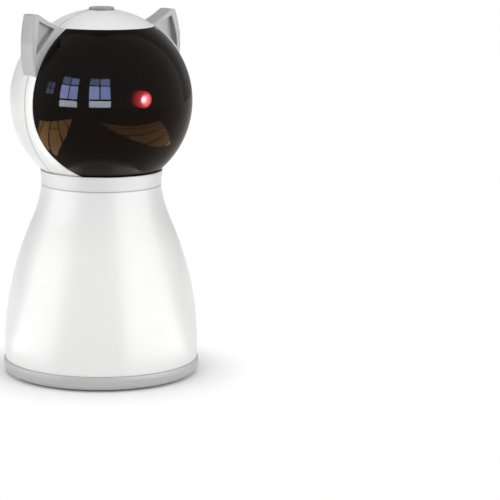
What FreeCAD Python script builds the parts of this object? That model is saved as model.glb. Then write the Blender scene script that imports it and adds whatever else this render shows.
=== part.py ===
import FreeCAD, Part
import math
import os

# Automatic laser toy with a cat's head on a vase-shaped body. Sizes are in millimetres.
# The origin is on the floor under the body's axis, +Z is up and the face looks along -Y.
# Left and right are the toy's own: its left ear is on the +X side.

X = FreeCAD.Vector(1, 0, 0)
Y = FreeCAD.Vector(0, 1, 0)
Z = FreeCAD.Vector(0, 0, 1)
ORIGIN = FreeCAD.Vector(0, 0, 0)

# Clearances. A cutting shape reaches past its piece by the overcut, a pilot hole goes past its
# screw's tip by the tip room, and a boss sinks into the wall that carries it by the merge depth.
groove_gap = 0.02
running_gap = 0.05
fit_gap = 0.10
seam_gap = 0.15
screw_clearance = 0.20
tip_room = 0.5
merge_depth = 0.5
overcut = 1.0

# Body shell: a vase with an upright foot, a bulging flare and a hollow neck
body_wall = 2.2
body_base_radius = 39.0
body_neck_radius = 24.05
base_seam_height = 6.3
belly_height = 10.9
collar_seam_height = 77.0
neck_lean_degrees = 6.7
flare_share = 0.773
steepest_lean_degrees = 70.0
boss_rib_thickness = 1.6
boss_rib_lift = 5.0
neck_rib_count = 6
neck_rib_thickness = 1.2
neck_rib_margin = 6.5
neck_rib_depth = 9.0

# Base cover and its ring foot
foot_height = 0.8
floor_thickness = 2.5
lip_bulge = 0.6
lip_edge_set_in = 2.3
lip_round_height = 2.2
lip_round_set_in = 0.2
lip_widest_height = 3.8
lip_top_set_in = 0.3
upstand_height = 4.0
upstand_thickness = 1.6
foot_ring_set_in = 0.4
foot_ring_width = 3.4
foot_groove_depth = 1.0
foot_ring_chamfer = 0.3
base_screw_set_in = 9.5
base_screw_count = 4
first_base_screw_degrees = 45.0
base_boss_radius = 3.2
base_boss_height = 20.0
base_seat_lift = 0.4
base_screw_length = 13.0
floor_rib_count = 8
floor_rib_thickness = 1.2
floor_rib_height = 1.5
floor_rib_start = 19.5

# Neck collar, which carries the head's swivel
collar_height = 5.95
collar_flare = 0.55
collar_wall = 1.65
collar_waist_flare = 0.12
collar_waist_height = 2.7
collar_rim_width = 1.4
head_rim_gap = 0.3
collar_rim_drop = 0.87
collar_rim_round = 0.35
collar_ledge_drop = 0.8
deck_thickness = 2.0
skirt_depth = 3.4
skirt_thickness = 1.75
skirt_gap = 0.3
collar_post_circle = 17.5
collar_post_radius = 2.6
collar_post_count = 3
first_collar_post_degrees = 30.0
collar_screw_length = 6.5
neck_flange_drop = 4.5
neck_flange_thickness = 2.0
neck_opening_radius = 13.5

# Head swivel
post_radius = 9.0
post_bore_radius = 6.5
post_length = 7.2
post_flange_radius = 15.6
post_flange_thickness = 2.0
post_chamfer = 0.5
flange_room = 0.5
post_screw_length = 8.5
flush_depth = 0.1
washer_thickness = 1.0
washer_outer_radius = 13.2
washer_bore_gap = 0.3
clip_outer_radius = 11.0
clip_thickness = 0.9
clip_groove_depth = 0.8
clip_drop = 0.75
clip_slot_width = 6.0
spring_washer_sheet = 0.3
spring_washer_margin = 1.0
swivel_range_degrees = 90.0
stop_pin_radius = 1.0
stop_pin_circle = 14.4
stop_pin_reach = 1.3
stop_groove_margin = 0.3

# Head sphere, split by an upright seam through its centre
head_radius = 36.4
beyond_head = 10.0
head_wall = 1.8
head_mouth_radius = 19.1
head_floor_gap = 0.65
tongue_length = 1.5
tongue_thickness = 0.9
tongue_room = 0.2
shell_rib_angles = (30, 60, 90, 120, 150)
shell_rib_thickness = 1.0
shell_rib_height = 1.2
shell_rib_low = -12.0
shell_rib_high = 20.0

# Visor boundary in side view: upright edge, sweep below it and level edge on top
visor_edge_forward = 5.0
visor_top = 29.7
visor_sweep_radius = 43.1
visor_sweep_drop = 1.8
visor_ledge = 2.0
ledge_thickness = 1.2
ledge_lead = 1.5

# Ears. Each corner has an angle up from the head's side and a rise over the head's skin.
ear_back = 4.1
ear_tip_width = 2.3
ear_tip_degrees = 47.10
ear_tip_rise = 11.79
ear_tip_lean = 1.6
ear_lean_height = 9.7
ear_bulge_degrees = 31.72
ear_bulge_rise = 5.45
ear_foot_degrees = 18.49
ear_foot_rise = -0.13
ear_inner_degrees = 55.16
ear_inner_rise = -0.34
ear_slope_sag = 0.35
ear_core_share = 0.8
ear_round = 0.6
recess_depth = 3.0
recess_tip_set_in = 1.0
recess_tip_drop = 2.5
recess_foot_set_in = 0.5
recess_foot_lift = 8.6
recess_inner_set_in = 4.6
recess_side_bulge = 0.3
ear_spigot_width = 6.0
ear_spigot_thickness = 2.4
ear_spigot_depth = 3.6
ear_spigot_rise = 1.2

# Top button, its switch and the little board that carries the switch
button_radius = 5.0
button_height = 0.7
button_travel = 0.8
button_gap = 0.25
button_round = 0.5
button_rim_width = 1.2
button_dish_depth = 0.3
button_flange_radius = 6.2
button_flange_thickness = 1.0
button_stem_radius = 1.5
plunger_radius = 1.7
plunger_length = 1.8
plunger_sink = 0.9
plunger_room = 0.2
switch_drop = 6.0
switch_size = 6.0
switch_height = 3.4
button_board_thickness = 1.2
button_board_width = 20.0
button_board_front = 4.5
button_board_rear = 8.5
button_boss_x = 7.5
button_boss_y = 5.6
button_boss_radius = 2.0
button_board_screw_length = 4.6

# Head chassis
chassis_top = -12.9
chassis_thickness = 2.0
chassis_radius = 27.6
chassis_nose_radius = 16.5
chassis_front = 8.5
rear_boss_x = 20.0
rear_boss_y = 14.0
front_boss_x = 22.0
front_boss_y = -5.0
head_boss_radius = 2.6
chassis_screw_length = 8.4
leg_circle = 11.4
leg_radius = 2.5
leg_angles = (15.0, 165.0, 270.0)
axle_boss_wall = 2.2
pinion_room = 0.4
wire_slot_circle = 20.0
wire_slot_width = 3.6
wire_slot_degrees = 28.0
wire_slot_rear_degrees = 8.0

# Gears
gear_module = 0.5
pressure_angle = 20.0
pan_gear_teeth = 48
pan_pinion_teeth = 12
tilt_gear_teeth = 36
tilt_pinion_teeth = 10
gear_addendum = 0.30
pinion_addendum = 0.50
tooth_dedendum = 0.62
tooth_backlash = 0.07
least_flank_start = 1.0001
short_edge = 0.0001

# Pan stage
pan_range_degrees = 50.0
pan_axle_radius = 1.5
pan_axle_depth = 5.0
pan_gear_lift = 0.3
pan_gear_thickness = 3.5
pan_hub_radius = 4.5
pan_hub_height = 0.9
axle_clip_thickness = 0.5
axle_clip_width = 1.6
axle_groove_depth = 0.3
axle_slot_width = 1.8
axle_end = 0.8
axle_chamfer = 0.3
pan_stop_circle = 8.5
pan_stop_radius = 1.0
pan_stop_lift = 0.6
stop_slot_gap = 0.2
stop_slot_degrees = 0.5
pan_window_radius = 1.6
pan_window_angles = (0, 180, 270)

# Yoke that carries the laser
yoke_base_thickness = 2.0
yoke_arm_inner = 7.5
yoke_arm_thickness = 2.0
yoke_base_reach = 3.5
yoke_base_front = 9.0
yoke_screw_x = 6.0
yoke_screw_y = 5.0
yoke_screw_length = 4.4
yoke_rim_gap = 0.3
yoke_web_set_in = 1.5
yoke_web_slack = 0.3
yoke_web_rise = 1.2
motor_nose_gap = 0.6
tilt_axis_forward = 8.0
tilt_axis_up = 2.95
tilt_boss_radius = 3.6
tilt_pin_radius = 1.25

# Laser unit
tilt_down_degrees = 40.0
tilt_up_degrees = 10.0
barrel_radius = 3.25
barrel_length = 18.0
barrel_nose_forward = 29.6
barrel_chamfer = 0.4
barrel_socket_radius = 2.2
barrel_socket_depth = 1.5
cradle_radius = 5.0
cradle_rear = 5.0
cradle_front = 24.0
cradle_cheek = 7.1
cheek_set_in = 0.4
sector_margin_degrees = 20.0
grip_groove_places = (14.5, 17.5)
grip_groove_width = 1.2
grip_groove_depth = 0.5
barrel_screw_set_back = 3.0
pin_clearance = 0.4
pin_proud = 0.2
sector_thickness = 2.5
lens_radius = 2.1
lens_thickness = 1.6
lens_sag = 0.7
lens_ring_length = 1.4
lens_recess = 0.5
lens_bore_radius = 1.5
lens_bore_depth = 4.0
lens_ring_bore = 1.2
lens_ring_chamfer = 0.3
lens_ring_grip = 0.05
laser_board_width = 4.2
laser_board_length = 7.4
laser_board_thickness = 0.8
laser_board_overlap = 1.2

# Drive motors: round cans with two screw ears
motor_radius = 7.5
motor_length = 8.5
motor_ear_reach = 2.5
motor_ear_radius = 2.3
motor_ear_thickness = 0.8
motor_nose_radius = 2.6
motor_nose_length = 0.8
motor_shaft_radius = 0.75
motor_end_wall = 1.0
motor_shaft_end_gap = 0.2
motor_edge_round = 0.6
motor_screw_tip = 0.8
pinion_thickness = 2.9
pinion_lift = 0.1
shaft_proud = 0.35
tilt_pinion_lead = 0.2
tilt_shaft_proud = 0.3

# Battery and its holder
battery_radius = 9.1
battery_length = 49.5
battery_cap_radius = 3.0
battery_cap_height = 0.6
battery_edge_round = 0.6
contact_thickness = 0.4
contact_margin = 2.0
contact_tail_width = 4.0
contact_tail_reach = 3.0
holder_wall = 1.5
holder_floor_gap = 0.3
holder_opening = 3.0
holder_window_width = 10.0
holder_window_margin = 16.0
holder_bore_gap = 0.2
holder_screw_length = 4.2
holder_tab_x = 14.5
holder_tab_radius = 3.2
holder_tab_lift = 2.7

# Control board in two slotted posts behind the front wall
board_thickness = 1.6
main_board_y = -18.0
main_board_half_width = 15.0
main_board_height = 34.0
board_post_height = 14.0
board_post_size = 4.6
board_lift = 1.0
board_hole_radius = 1.1
board_hole_x = 12.0
board_hole_drop = 3.0

# What the control board carries, by height above the inner floor
control_chip_size = 7.0
control_chip_thickness = 1.1
control_chip_lift = 16.7
chip_dot_radius = 0.5
chip_dot_set_in = 1.1
chip_dot_depth = 0.2
driver_chip_x = 5.0
driver_chip_width = 4.0
driver_chip_height = 5.0
driver_chip_thickness = 1.5
driver_chip_lift = 7.2
plug_spacing = 8.0
plug_width = 6.0
plug_depth = 4.2
plug_height = 5.0
plug_wall_side = 0.6
plug_wall_front = 0.8
plug_floor = 1.5
plug_lift = 24.7
sensor_x = 9.5
sensor_radius = 2.4
sensor_length = 9.0
sensor_pin_radius = 0.5
sensor_pin_length = 1.4
sensor_lift = 15.7
capacitor_x = -9.5
capacitor_radius = 2.5
capacitor_length = 8.0
capacitor_neck_lift = 6.2
capacitor_neck_width = 0.5
capacitor_neck_depth = 0.2

# Charging board and socket at the rear
charge_board_height = 10.8
charge_board_front = 17.0
charge_board_wall_gap = 0.37
charge_board_half_width = 9.4
socket_width = 8.94
socket_height = 3.26
socket_depth = 7.35
socket_wall = 0.3
socket_setback = 0.8
socket_clearance = 0.25
socket_floor = 0.8
socket_tunnel = 3.0
tongue_board_width = 6.7
tongue_board_thickness = 0.7
tongue_board_set_back = 1.0
tongue_root_length = 1.2
tongue_root_thickness = 1.8
lamp_x = 7.9
lamp_radius = 1.0
lamp_lift = 0.3
lamp_chip_width = 2.4
lamp_chip_length = 1.4
lamp_chip_gap = 1.2
lamp_recess = 0.3
charge_boss_x = 5.5
charge_boss_y = 23.0
charge_boss_radius = 2.1
charge_boss_height = 8.0
charge_rib_lift = 1.0
charge_screw_length = 6.6

# Screws: radius of the shank, radius of the head and height of the head
base_screw = (1.25, 2.4, 1.8)
small_screw = (0.90, 1.9, 1.3)
tiny_screw = (0.70, 1.4, 0.9)
screw_head_gap = 0.3

# Heights and places that follow from the sizes above
deck_top = collar_seam_height + deck_thickness
mouth_drop = math.sqrt(head_radius**2 - head_mouth_radius**2)
head_height = deck_top + head_floor_gap + mouth_drop
floor_top = foot_height + floor_thickness
inner_radius = head_radius - head_wall
neck_flange_top = collar_seam_height - neck_flange_drop
flange_bottom = deck_top + washer_thickness + running_gap - head_height
flange_top = flange_bottom + post_flange_thickness
chassis_bottom = chassis_top - chassis_thickness
chassis_pilot_depth = chassis_screw_length - chassis_thickness + tip_room
pan_gear_bottom = chassis_top + pan_gear_lift
pan_gear_top = pan_gear_bottom + pan_gear_thickness
pan_hub_top = pan_gear_top + pan_hub_height
pan_centre_distance = gear_module * (pan_gear_teeth + pan_pinion_teeth) / 2
tilt_centre_distance = gear_module * (tilt_gear_teeth + tilt_pinion_teeth) / 2
tilt_motor_forward = tilt_axis_forward - tilt_centre_distance
motor_ear_circle = motor_radius + motor_ear_reach
yoke_base_rear = yoke_base_reach - tilt_motor_forward
yoke_arm_outer = yoke_arm_inner + yoke_arm_thickness
switch_top = head_radius - switch_drop
button_board_top = switch_top - switch_height
battery_bottom = floor_top + holder_floor_gap + holder_wall + contact_thickness + fit_gap
charge_board_top = charge_board_height + board_thickness
lamp_height = charge_board_top + lamp_radius + lamp_lift
lip_edge_radius = body_base_radius + lip_bulge - lip_edge_set_in
foot_ring_outer_radius = lip_edge_radius - foot_ring_set_in
base_screw_circle = body_base_radius - base_screw_set_in
base_screw_angles = [first_base_screw_degrees + number * 360.0 / base_screw_count
                     for number in range(base_screw_count)]
collar_post_angles = [first_collar_post_degrees + number * 360.0 / collar_post_count
                      for number in range(collar_post_count)]
base_head_seat = floor_top + base_seat_lift
clip_top = collar_seam_height - clip_drop
cell_top = battery_bottom + battery_length + battery_cap_height
board_front = main_board_y - board_thickness / 2
board_back = main_board_y + board_thickness / 2
charge_board_corner = body_base_radius - body_wall - charge_board_wall_gap
charge_board_rear = math.sqrt(charge_board_corner**2 - charge_board_half_width**2)
socket_mouth = body_base_radius - socket_setback
sector_x = -cradle_cheek
barrel_screw_forward = cradle_front - barrel_screw_set_back
button_flange_top = math.sqrt(inner_radius**2 - button_flange_radius**2) - fit_gap


def at(x, y, z):
    return FreeCAD.Vector(x, y, z)


def round_bar(radius, start, axis, length):
    return Part.makeCylinder(radius, length, start, axis)


def tube(outer, bore, start, axis, length):
    return round_bar(outer, start, axis, length).cut(round_bar(bore, start, axis, length))


def block(x, y, z):
    return Part.makeBox(x[1] - x[0], y[1] - y[0], z[1] - z[0], at(x[0], y[0], z[0]))


def joined(shapes):
    return shapes[0].multiFuse(shapes[1:]).removeSplitter()


def on_circle(radius, degrees, z=0.0):
    angle = math.radians(degrees)
    return at(radius * math.cos(angle), radius * math.sin(angle), z)


def flat_outline(start, steps):
    # A step is a point for a straight edge, or (middle, end) for an arc.
    edges = []
    here = at(start[0], 0, start[1])
    for step in steps:
        if isinstance(step[0], tuple):
            there = at(step[1][0], 0, step[1][1])
            edges.append(Part.Arc(here, at(step[0][0], 0, step[0][1]), there).toShape())
        else:
            there = at(step[0], 0, step[1])
            edges.append(Part.makeLine(here, there))
        here = there
    edges.append(Part.makeLine(here, at(start[0], 0, start[1])))
    return Part.Face(Part.Wire(edges))


def turned(start, *steps):
    return flat_outline(start, steps).revolve(ORIGIN, Z, 360)


def front_prism(start, steps, y_low, y_high):
    # The outline is seen from the front, in x and z.
    prism = flat_outline(start, steps).extrude(at(0, y_high - y_low, 0))
    prism.translate(at(0, y_low, 0))
    return prism


def side_prism(start, steps, x_low, x_high):
    # The outline is seen from the side, in forward distance and z.
    prism = flat_outline(start, steps).extrude(at(0, x_high - x_low, 0))
    prism.translate(at(0, x_low, 0))
    prism.rotate(ORIGIN, Z, -90)
    return prism


def side_disc(forward, z, radius, x_low, x_high):
    return round_bar(radius, at(x_low, -forward, z), X, x_high - x_low)


def screw(kind, seat, axis, length):
    # A pan-head screw: the head stands on its seat and the shank goes along the axis.
    shank, head, cap_height = kind
    cap = round_bar(head, seat - axis * cap_height, axis, cap_height)
    return cap.fuse(round_bar(shank, seat, axis, length))


def pilot_hole(kind, start, axis, length):
    return round_bar(kind[0] + fit_gap, start, axis, length)


def clear_hole(kind, start, axis, length):
    return round_bar(kind[0] + screw_clearance, start, axis, length)


def pilot_depth(screw_length, clamped):
    return screw_length - clamped + tip_room


def corner_arc(start, corner, end):
    """The outline step that rounds a square corner from its start to its end."""
    share = 1 - math.sqrt(0.5)
    middle = (corner[0] + share * (start[0] + end[0] - 2 * corner[0]),
              corner[1] + share * (start[1] + end[1] - 2 * corner[1]))
    return (middle, end)


# Gear teeth

def involute_point(base, radius, offset):
    turn = math.sqrt((radius / base) ** 2 - 1)
    angle = turn - math.atan(turn) - offset
    return at(radius * math.cos(angle), radius * math.sin(angle), 0)


def flank_points(teeth, addendum):
    """Three points up an involute flank, from the base circle or from the root if that is larger."""
    pitch = gear_module * teeth / 2
    base = pitch * math.cos(math.radians(pressure_angle))
    tip = pitch + addendum
    roll = math.tan(math.radians(pressure_angle)) - math.radians(pressure_angle)
    half_tooth = math.pi / (2 * teeth) - tooth_backlash / (2 * pitch)
    start = max(base * least_flank_start, pitch - tooth_dedendum)
    radii = [start, (start + tip) / 2, tip]
    return [involute_point(base, radius, half_tooth + roll) for radius in radii]


def tooth_edges(teeth, addendum):
    """One tooth on the +X axis and the root arc that follows it."""
    lower = flank_points(teeth, addendum)
    upper = [at(p.x, -p.y, 0) for p in reversed(lower)]
    root = gear_module * teeth / 2 - tooth_dedendum
    foot = lower[0] * (root / lower[0].Length)
    upper_foot = at(foot.x, -foot.y, 0)
    step = FreeCAD.Rotation(Z, 360.0 / teeth)
    half_step = FreeCAD.Rotation(Z, 180.0 / teeth)
    edges = [Part.Arc(*lower).toShape(), Part.Arc(*upper).toShape()]
    edges.append(Part.Arc(lower[-1], at(gear_module * teeth / 2 + addendum, 0, 0), upper[0]).toShape())
    edges.append(Part.Arc(upper_foot, half_step.multVec(at(root, 0, 0)), step.multVec(foot)).toShape())
    if foot.distanceToPoint(lower[0]) > short_edge:
        edges.append(Part.makeLine(foot, lower[0]))
        edges.append(Part.makeLine(upper[-1], upper_foot))
    return edges


def gear_blank(teeth, addendum, first_degrees, thickness):
    edges = []
    for number in range(teeth):
        for edge in tooth_edges(teeth, addendum):
            edge.rotate(ORIGIN, Z, first_degrees + number * 360.0 / teeth)
            edges.append(edge)
    outline = Part.Wire(Part.__sortEdges__(edges))
    return Part.Face(outline).extrude(at(0, 0, thickness))


# Body

def body_arcs(inset):
    """The flare's two tangent arcs, from the belly up to the collar seam."""
    low_rise = (collar_seam_height - belly_height) * flare_share
    high_rise = (collar_seam_height - belly_height) * (1 - flare_share)
    lean = math.radians(neck_lean_degrees)
    least, most = lean, math.radians(steepest_lean_degrees)
    while most - least > math.radians(short_edge):
        slope = (least + most) / 2
        drawn_in = low_rise * math.tan(slope / 2) + high_rise * math.tan((slope + lean) / 2)
        if drawn_in < body_base_radius - body_neck_radius:
            least = slope
        else:
            most = slope
    belly_radius = low_rise / math.sin(slope)
    neck_radius = high_rise / (math.sin(slope) - math.sin(lean))
    belly_centre = body_base_radius - belly_radius
    neck_centre = belly_centre + (belly_radius + neck_radius) * math.cos(slope)
    neck_centre_height = belly_height + (belly_radius + neck_radius) * math.sin(slope)

    def belly(angle):
        reach = belly_radius - inset
        return (belly_centre + reach * math.cos(angle), belly_height + reach * math.sin(angle))

    def neck(angle):
        reach = neck_radius + inset
        return (neck_centre - reach * math.cos(angle), neck_centre_height - reach * math.sin(angle))

    top = math.asin((neck_centre_height - collar_seam_height) / (neck_radius + inset))
    return [belly(0), belly(slope / 2), belly(slope), neck((slope + top) / 2), neck(top)]


def body_inside(inset):
    """The solid that fills the body up to an inset from its outer skin."""
    foot, mid, waist, high, top = body_arcs(inset)
    return turned((0, base_seam_height), (foot[0], base_seam_height), foot, (mid, waist), (high, top),
                  (0, collar_seam_height))


def socket_outline(growth, y_low, y_high):
    half_height = socket_height / 2 + growth
    half_flat = socket_width / 2 - socket_height / 2
    z = charge_board_top + socket_height / 2
    bar = block((-half_flat, half_flat), (y_low, y_high), (z - half_height, z + half_height))
    ends = [round_bar(half_height, at(x, y_low, z), Y, y_high - y_low) for x in (-half_flat, half_flat)]
    return joined([bar] + ends)


def body_shell():
    shell = body_inside(0).cut(body_inside(body_wall))
    trim = body_inside(body_wall / 2)
    inner = []
    boss_top = base_seam_height + base_boss_height
    for angle in base_screw_angles:
        centre = on_circle(base_screw_circle, angle, base_seam_height)
        rib = block((base_screw_circle, body_base_radius), (-boss_rib_thickness / 2, boss_rib_thickness / 2),
                    (base_seam_height + boss_rib_lift, boss_top))
        rib.rotate(ORIGIN, Z, angle)
        inner.append(round_bar(base_boss_radius, centre, Z, base_boss_height))
        inner.append(rib)
    for x in (-charge_boss_x, charge_boss_x):
        foot = at(x, charge_boss_y, charge_board_top)
        inner.append(round_bar(charge_boss_radius, foot, Z, charge_boss_height))
        inner.append(block((x - neck_rib_thickness / 2, x + neck_rib_thickness / 2),
                           (charge_boss_y, body_base_radius),
                           (charge_board_top + socket_height + charge_rib_lift,
                            charge_board_top + charge_boss_height)))
    inner.append(tube(body_base_radius, neck_opening_radius,
                      at(0, 0, neck_flange_top - neck_flange_thickness), Z, neck_flange_thickness))
    for number in range(neck_rib_count):
        rib = block((neck_opening_radius + neck_rib_margin, body_base_radius),
                    (-neck_rib_thickness / 2, neck_rib_thickness / 2),
                    (neck_flange_top - neck_rib_depth, neck_flange_top - neck_flange_thickness))
        rib.rotate(ORIGIN, Z, number * 360.0 / neck_rib_count)
        inner.append(rib)
    shell = joined([shell] + [piece.common(trim) for piece in inner])
    cuts = []
    for angle in base_screw_angles:
        cuts.append(pilot_hole(base_screw, on_circle(base_screw_circle, angle, base_seam_height), Z,
                               pilot_depth(base_screw_length, base_seam_height - base_head_seat)))
    for angle in collar_post_angles:
        seat = on_circle(collar_post_circle, angle, neck_flange_top - neck_flange_thickness)
        cuts.append(clear_hole(small_screw, seat, Z, neck_flange_thickness))
    for x in (-charge_boss_x, charge_boss_x):
        cuts.append(pilot_hole(tiny_screw, at(x, charge_boss_y, charge_board_top), Z,
                               pilot_depth(charge_screw_length, board_thickness)))
    tunnel_start = charge_board_rear - socket_tunnel
    cuts.append(socket_outline(socket_clearance, tunnel_start, body_base_radius + overcut))
    cuts.append(round_bar(lamp_radius + fit_gap, at(lamp_x, tunnel_start, lamp_height), Y,
                          body_base_radius - tunnel_start))
    return shell.cut(Part.makeCompound(cuts))


def base_cover():
    lip = body_base_radius + lip_bulge
    upstand = body_base_radius - body_wall - fit_gap
    ring_inner = foot_ring_outer_radius - foot_ring_width
    groove_top = foot_height + foot_groove_depth
    lip_corner = (lip - lip_round_set_in, foot_height)
    lip_side = (lip - lip_round_set_in, foot_height + lip_round_height)
    dish = turned((0, foot_height),
                  (ring_inner - fit_gap, foot_height), (ring_inner - fit_gap, groove_top),
                  (foot_ring_outer_radius + fit_gap, groove_top),
                  (foot_ring_outer_radius + fit_gap, foot_height), (lip_edge_radius, foot_height),
                  corner_arc((lip_edge_radius, foot_height), lip_corner, lip_side),
                  ((lip, foot_height + lip_widest_height), (lip - lip_top_set_in, base_seam_height)),
                  (upstand, base_seam_height), (upstand, base_seam_height + upstand_height),
                  (upstand - upstand_thickness, base_seam_height + upstand_height),
                  (upstand - upstand_thickness, floor_top), (0, floor_top))
    built = [dish]
    cuts = []
    for angle in base_screw_angles:
        built.append(round_bar(base_boss_radius + merge_depth,
                               on_circle(base_screw_circle, angle, foot_height), Z,
                               base_seam_height - foot_height))
        cuts.append(round_bar(base_screw[1] + screw_head_gap, on_circle(base_screw_circle, angle, 0), Z,
                              base_head_seat))
        cuts.append(clear_hole(base_screw, on_circle(base_screw_circle, angle, 0), Z,
                               base_seam_height + overcut))
    for number in range(floor_rib_count):
        rib = block((floor_rib_start, upstand - merge_depth),
                    (-floor_rib_thickness / 2, floor_rib_thickness / 2),
                    (floor_top - merge_depth, floor_top + floor_rib_height))
        rib.rotate(ORIGIN, Z, (number + 0.5) * 360.0 / floor_rib_count)
        built.append(rib)
    for side in (-1, 1):
        foot = at(side * holder_tab_x, 0, floor_top - merge_depth)
        built.append(round_bar(holder_tab_radius, foot, Z, holder_tab_lift + merge_depth))
        cuts.append(pilot_hole(small_screw, at(side * holder_tab_x, 0, floor_top + holder_tab_lift), -Z,
                               pilot_depth(holder_screw_length, holder_wall)))
        edge = side * main_board_half_width
        built.append(block((edge - board_post_size / 2, edge + board_post_size / 2),
                           (main_board_y - board_post_size / 2, main_board_y + board_post_size / 2),
                           (floor_top - merge_depth, floor_top + board_post_height)))
    half_slot = board_thickness / 2 + fit_gap
    slot_edge = main_board_half_width + fit_gap
    cuts.append(block((-slot_edge, slot_edge), (main_board_y - half_slot, main_board_y + half_slot),
                      (floor_top + board_lift, floor_top + board_post_height + overcut)))
    return joined(built).cut(Part.makeCompound(cuts))


def foot_ring():
    ring_inner = foot_ring_outer_radius - foot_ring_width
    top = foot_height + foot_groove_depth - fit_gap
    return turned((ring_inner, foot_ring_chamfer), (ring_inner + foot_ring_chamfer, 0),
                  (foot_ring_outer_radius - foot_ring_chamfer, 0),
                  (foot_ring_outer_radius, foot_ring_chamfer), (foot_ring_outer_radius, top),
                  (ring_inner, top))


def base_screws():
    seats = [on_circle(base_screw_circle, angle, base_head_seat) for angle in base_screw_angles]
    return Part.makeCompound([screw(base_screw, seat, Z, base_screw_length) for seat in seats])


# Collar and the fixed half of the swivel

def neck_collar():
    rim = body_neck_radius + collar_flare
    rim_top = collar_seam_height + collar_height
    dish = rim_top - collar_rim_drop
    rim_corner = corner_arc((rim, rim_top - collar_rim_round), (rim, rim_top),
                            (rim - collar_rim_round, rim_top))
    skirt = body_neck_radius - body_wall - skirt_gap
    bore = post_radius + running_gap
    inside = body_neck_radius - collar_wall
    ring = turned((body_neck_radius, collar_seam_height),
                  ((body_neck_radius + collar_waist_flare, collar_seam_height + collar_waist_height),
                   (rim, rim_top - collar_rim_round)),
                  rim_corner, (rim - collar_rim_width, dish),
                  (inside, dish - collar_ledge_drop), (inside, deck_top), (bore, deck_top),
                  (bore, collar_seam_height), (skirt - skirt_thickness, collar_seam_height),
                  (skirt - skirt_thickness, collar_seam_height - skirt_depth),
                  (skirt, collar_seam_height - skirt_depth), (skirt, collar_seam_height))
    posts = []
    holes = []
    for angle in collar_post_angles:
        foot = on_circle(collar_post_circle, angle, neck_flange_top)
        posts.append(round_bar(collar_post_radius, foot, Z,
                               collar_seam_height - neck_flange_top + merge_depth))
        holes.append(pilot_hole(small_screw, foot, Z,
                                pilot_depth(collar_screw_length, neck_flange_thickness)))
    collar = joined([ring] + posts)
    pin_room = stop_pin_radius + 2 * fit_gap
    half_turn = swivel_range_degrees + math.degrees(pin_room / stop_pin_circle)
    groove = arc_slot(stop_pin_circle, pin_room, 90 - half_turn, 90 + half_turn,
                      deck_top - stop_pin_reach - stop_groove_margin, deck_top + overcut)
    head_room = ball(head_radius + head_rim_gap)
    head_room.translate(at(0, 0, head_height))
    head_room = head_room.common(round_bar(head_radius, at(0, 0, deck_top), Z, head_radius))
    return collar.cut(Part.makeCompound(holes + [groove, head_room]))


def arc_slot(radius, half_width, first_degrees, last_degrees, z_low, z_high):
    section = Part.Face(Part.Wire(Part.makePolygon([
        at(radius - half_width, 0, z_low), at(radius + half_width, 0, z_low),
        at(radius + half_width, 0, z_high), at(radius - half_width, 0, z_high),
        at(radius - half_width, 0, z_low)])))
    section.rotate(ORIGIN, Z, first_degrees)
    return section.revolve(ORIGIN, Z, last_degrees - first_degrees)


def collar_screws():
    seat_height = neck_flange_top - neck_flange_thickness
    seats = [on_circle(collar_post_circle, angle, seat_height) for angle in collar_post_angles]
    return Part.makeCompound([screw(small_screw, seat, Z, collar_screw_length) for seat in seats])


def swivel_washer():
    return tube(washer_outer_radius, post_radius + washer_bore_gap, at(0, 0, deck_top), Z,
                washer_thickness)


def spring_washer():
    low = clip_top + running_gap
    high = collar_seam_height - running_gap - spring_washer_sheet
    inner = post_radius + washer_bore_gap
    outer = clip_outer_radius + spring_washer_margin
    return turned((inner, low), (inner, low + spring_washer_sheet), (outer, high + spring_washer_sheet),
                  (outer, high))


# Battery, boards and socket

def battery_cell():
    body = round_bar(battery_radius, at(0, 0, battery_bottom), Z, battery_length)
    rims = [edge for edge in body.Edges if edge.Curve.TypeId == "Part::GeomCircle"]
    body = body.makeFillet(battery_edge_round, rims)
    cap = round_bar(battery_cap_radius, at(0, 0, battery_bottom + battery_length - merge_depth), Z,
                    battery_cap_height + merge_depth)
    return body.fuse(cap)


def battery_holder():
    bottom = floor_top + holder_floor_gap
    top = cell_top + fit_gap + contact_thickness
    bore = battery_radius + holder_bore_gap
    outer = bore + holder_wall
    cradle = round_bar(outer, at(0, 0, bottom), Z, top + holder_wall - bottom)
    cradle = cradle.cut(round_bar(bore, at(0, 0, bottom + holder_wall), Z, top - bottom - holder_wall))
    cradle = cradle.cut(block((-outer, outer), (-outer, -holder_opening), (bottom + holder_wall, top)))
    window = block((-holder_window_width / 2, holder_window_width / 2), (0, outer + overcut),
                   (bottom + holder_window_margin, top - holder_window_margin))
    cradle = cradle.cut(window)
    tab_low = floor_top + holder_tab_lift
    built = [cradle]
    cuts = []
    for side in (-1, 1):
        built.append(round_bar(holder_tab_radius, at(side * holder_tab_x, 0, tab_low), Z, holder_wall))
        near, far = sorted((side * (bore + merge_depth), side * holder_tab_x))
        built.append(block((near, far), (-holder_tab_radius, holder_tab_radius),
                           (tab_low, tab_low + holder_wall)))
        cuts.append(clear_hole(small_screw, at(side * holder_tab_x, 0, tab_low - overcut), Z,
                               holder_wall + 2 * overcut))
    return joined(built).cut(Part.makeCompound(cuts))


def battery_contacts():
    low = floor_top + holder_floor_gap + holder_wall
    high = cell_top + fit_gap
    plates = []
    for z in (low, high):
        plate = round_bar(battery_radius - contact_margin, at(0, 0, z), Z, contact_thickness)
        tail = block((-contact_tail_width / 2, contact_tail_width / 2),
                     (-battery_radius - contact_tail_reach, 0), (z, z + contact_thickness))
        plates.append(plate.fuse(tail).removeSplitter())
    return Part.makeCompound(plates)


def holder_screws():
    seat = floor_top + holder_tab_lift + holder_wall
    return Part.makeCompound([screw(small_screw, at(side * holder_tab_x, 0, seat), -Z,
                                    holder_screw_length) for side in (-1, 1)])


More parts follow.
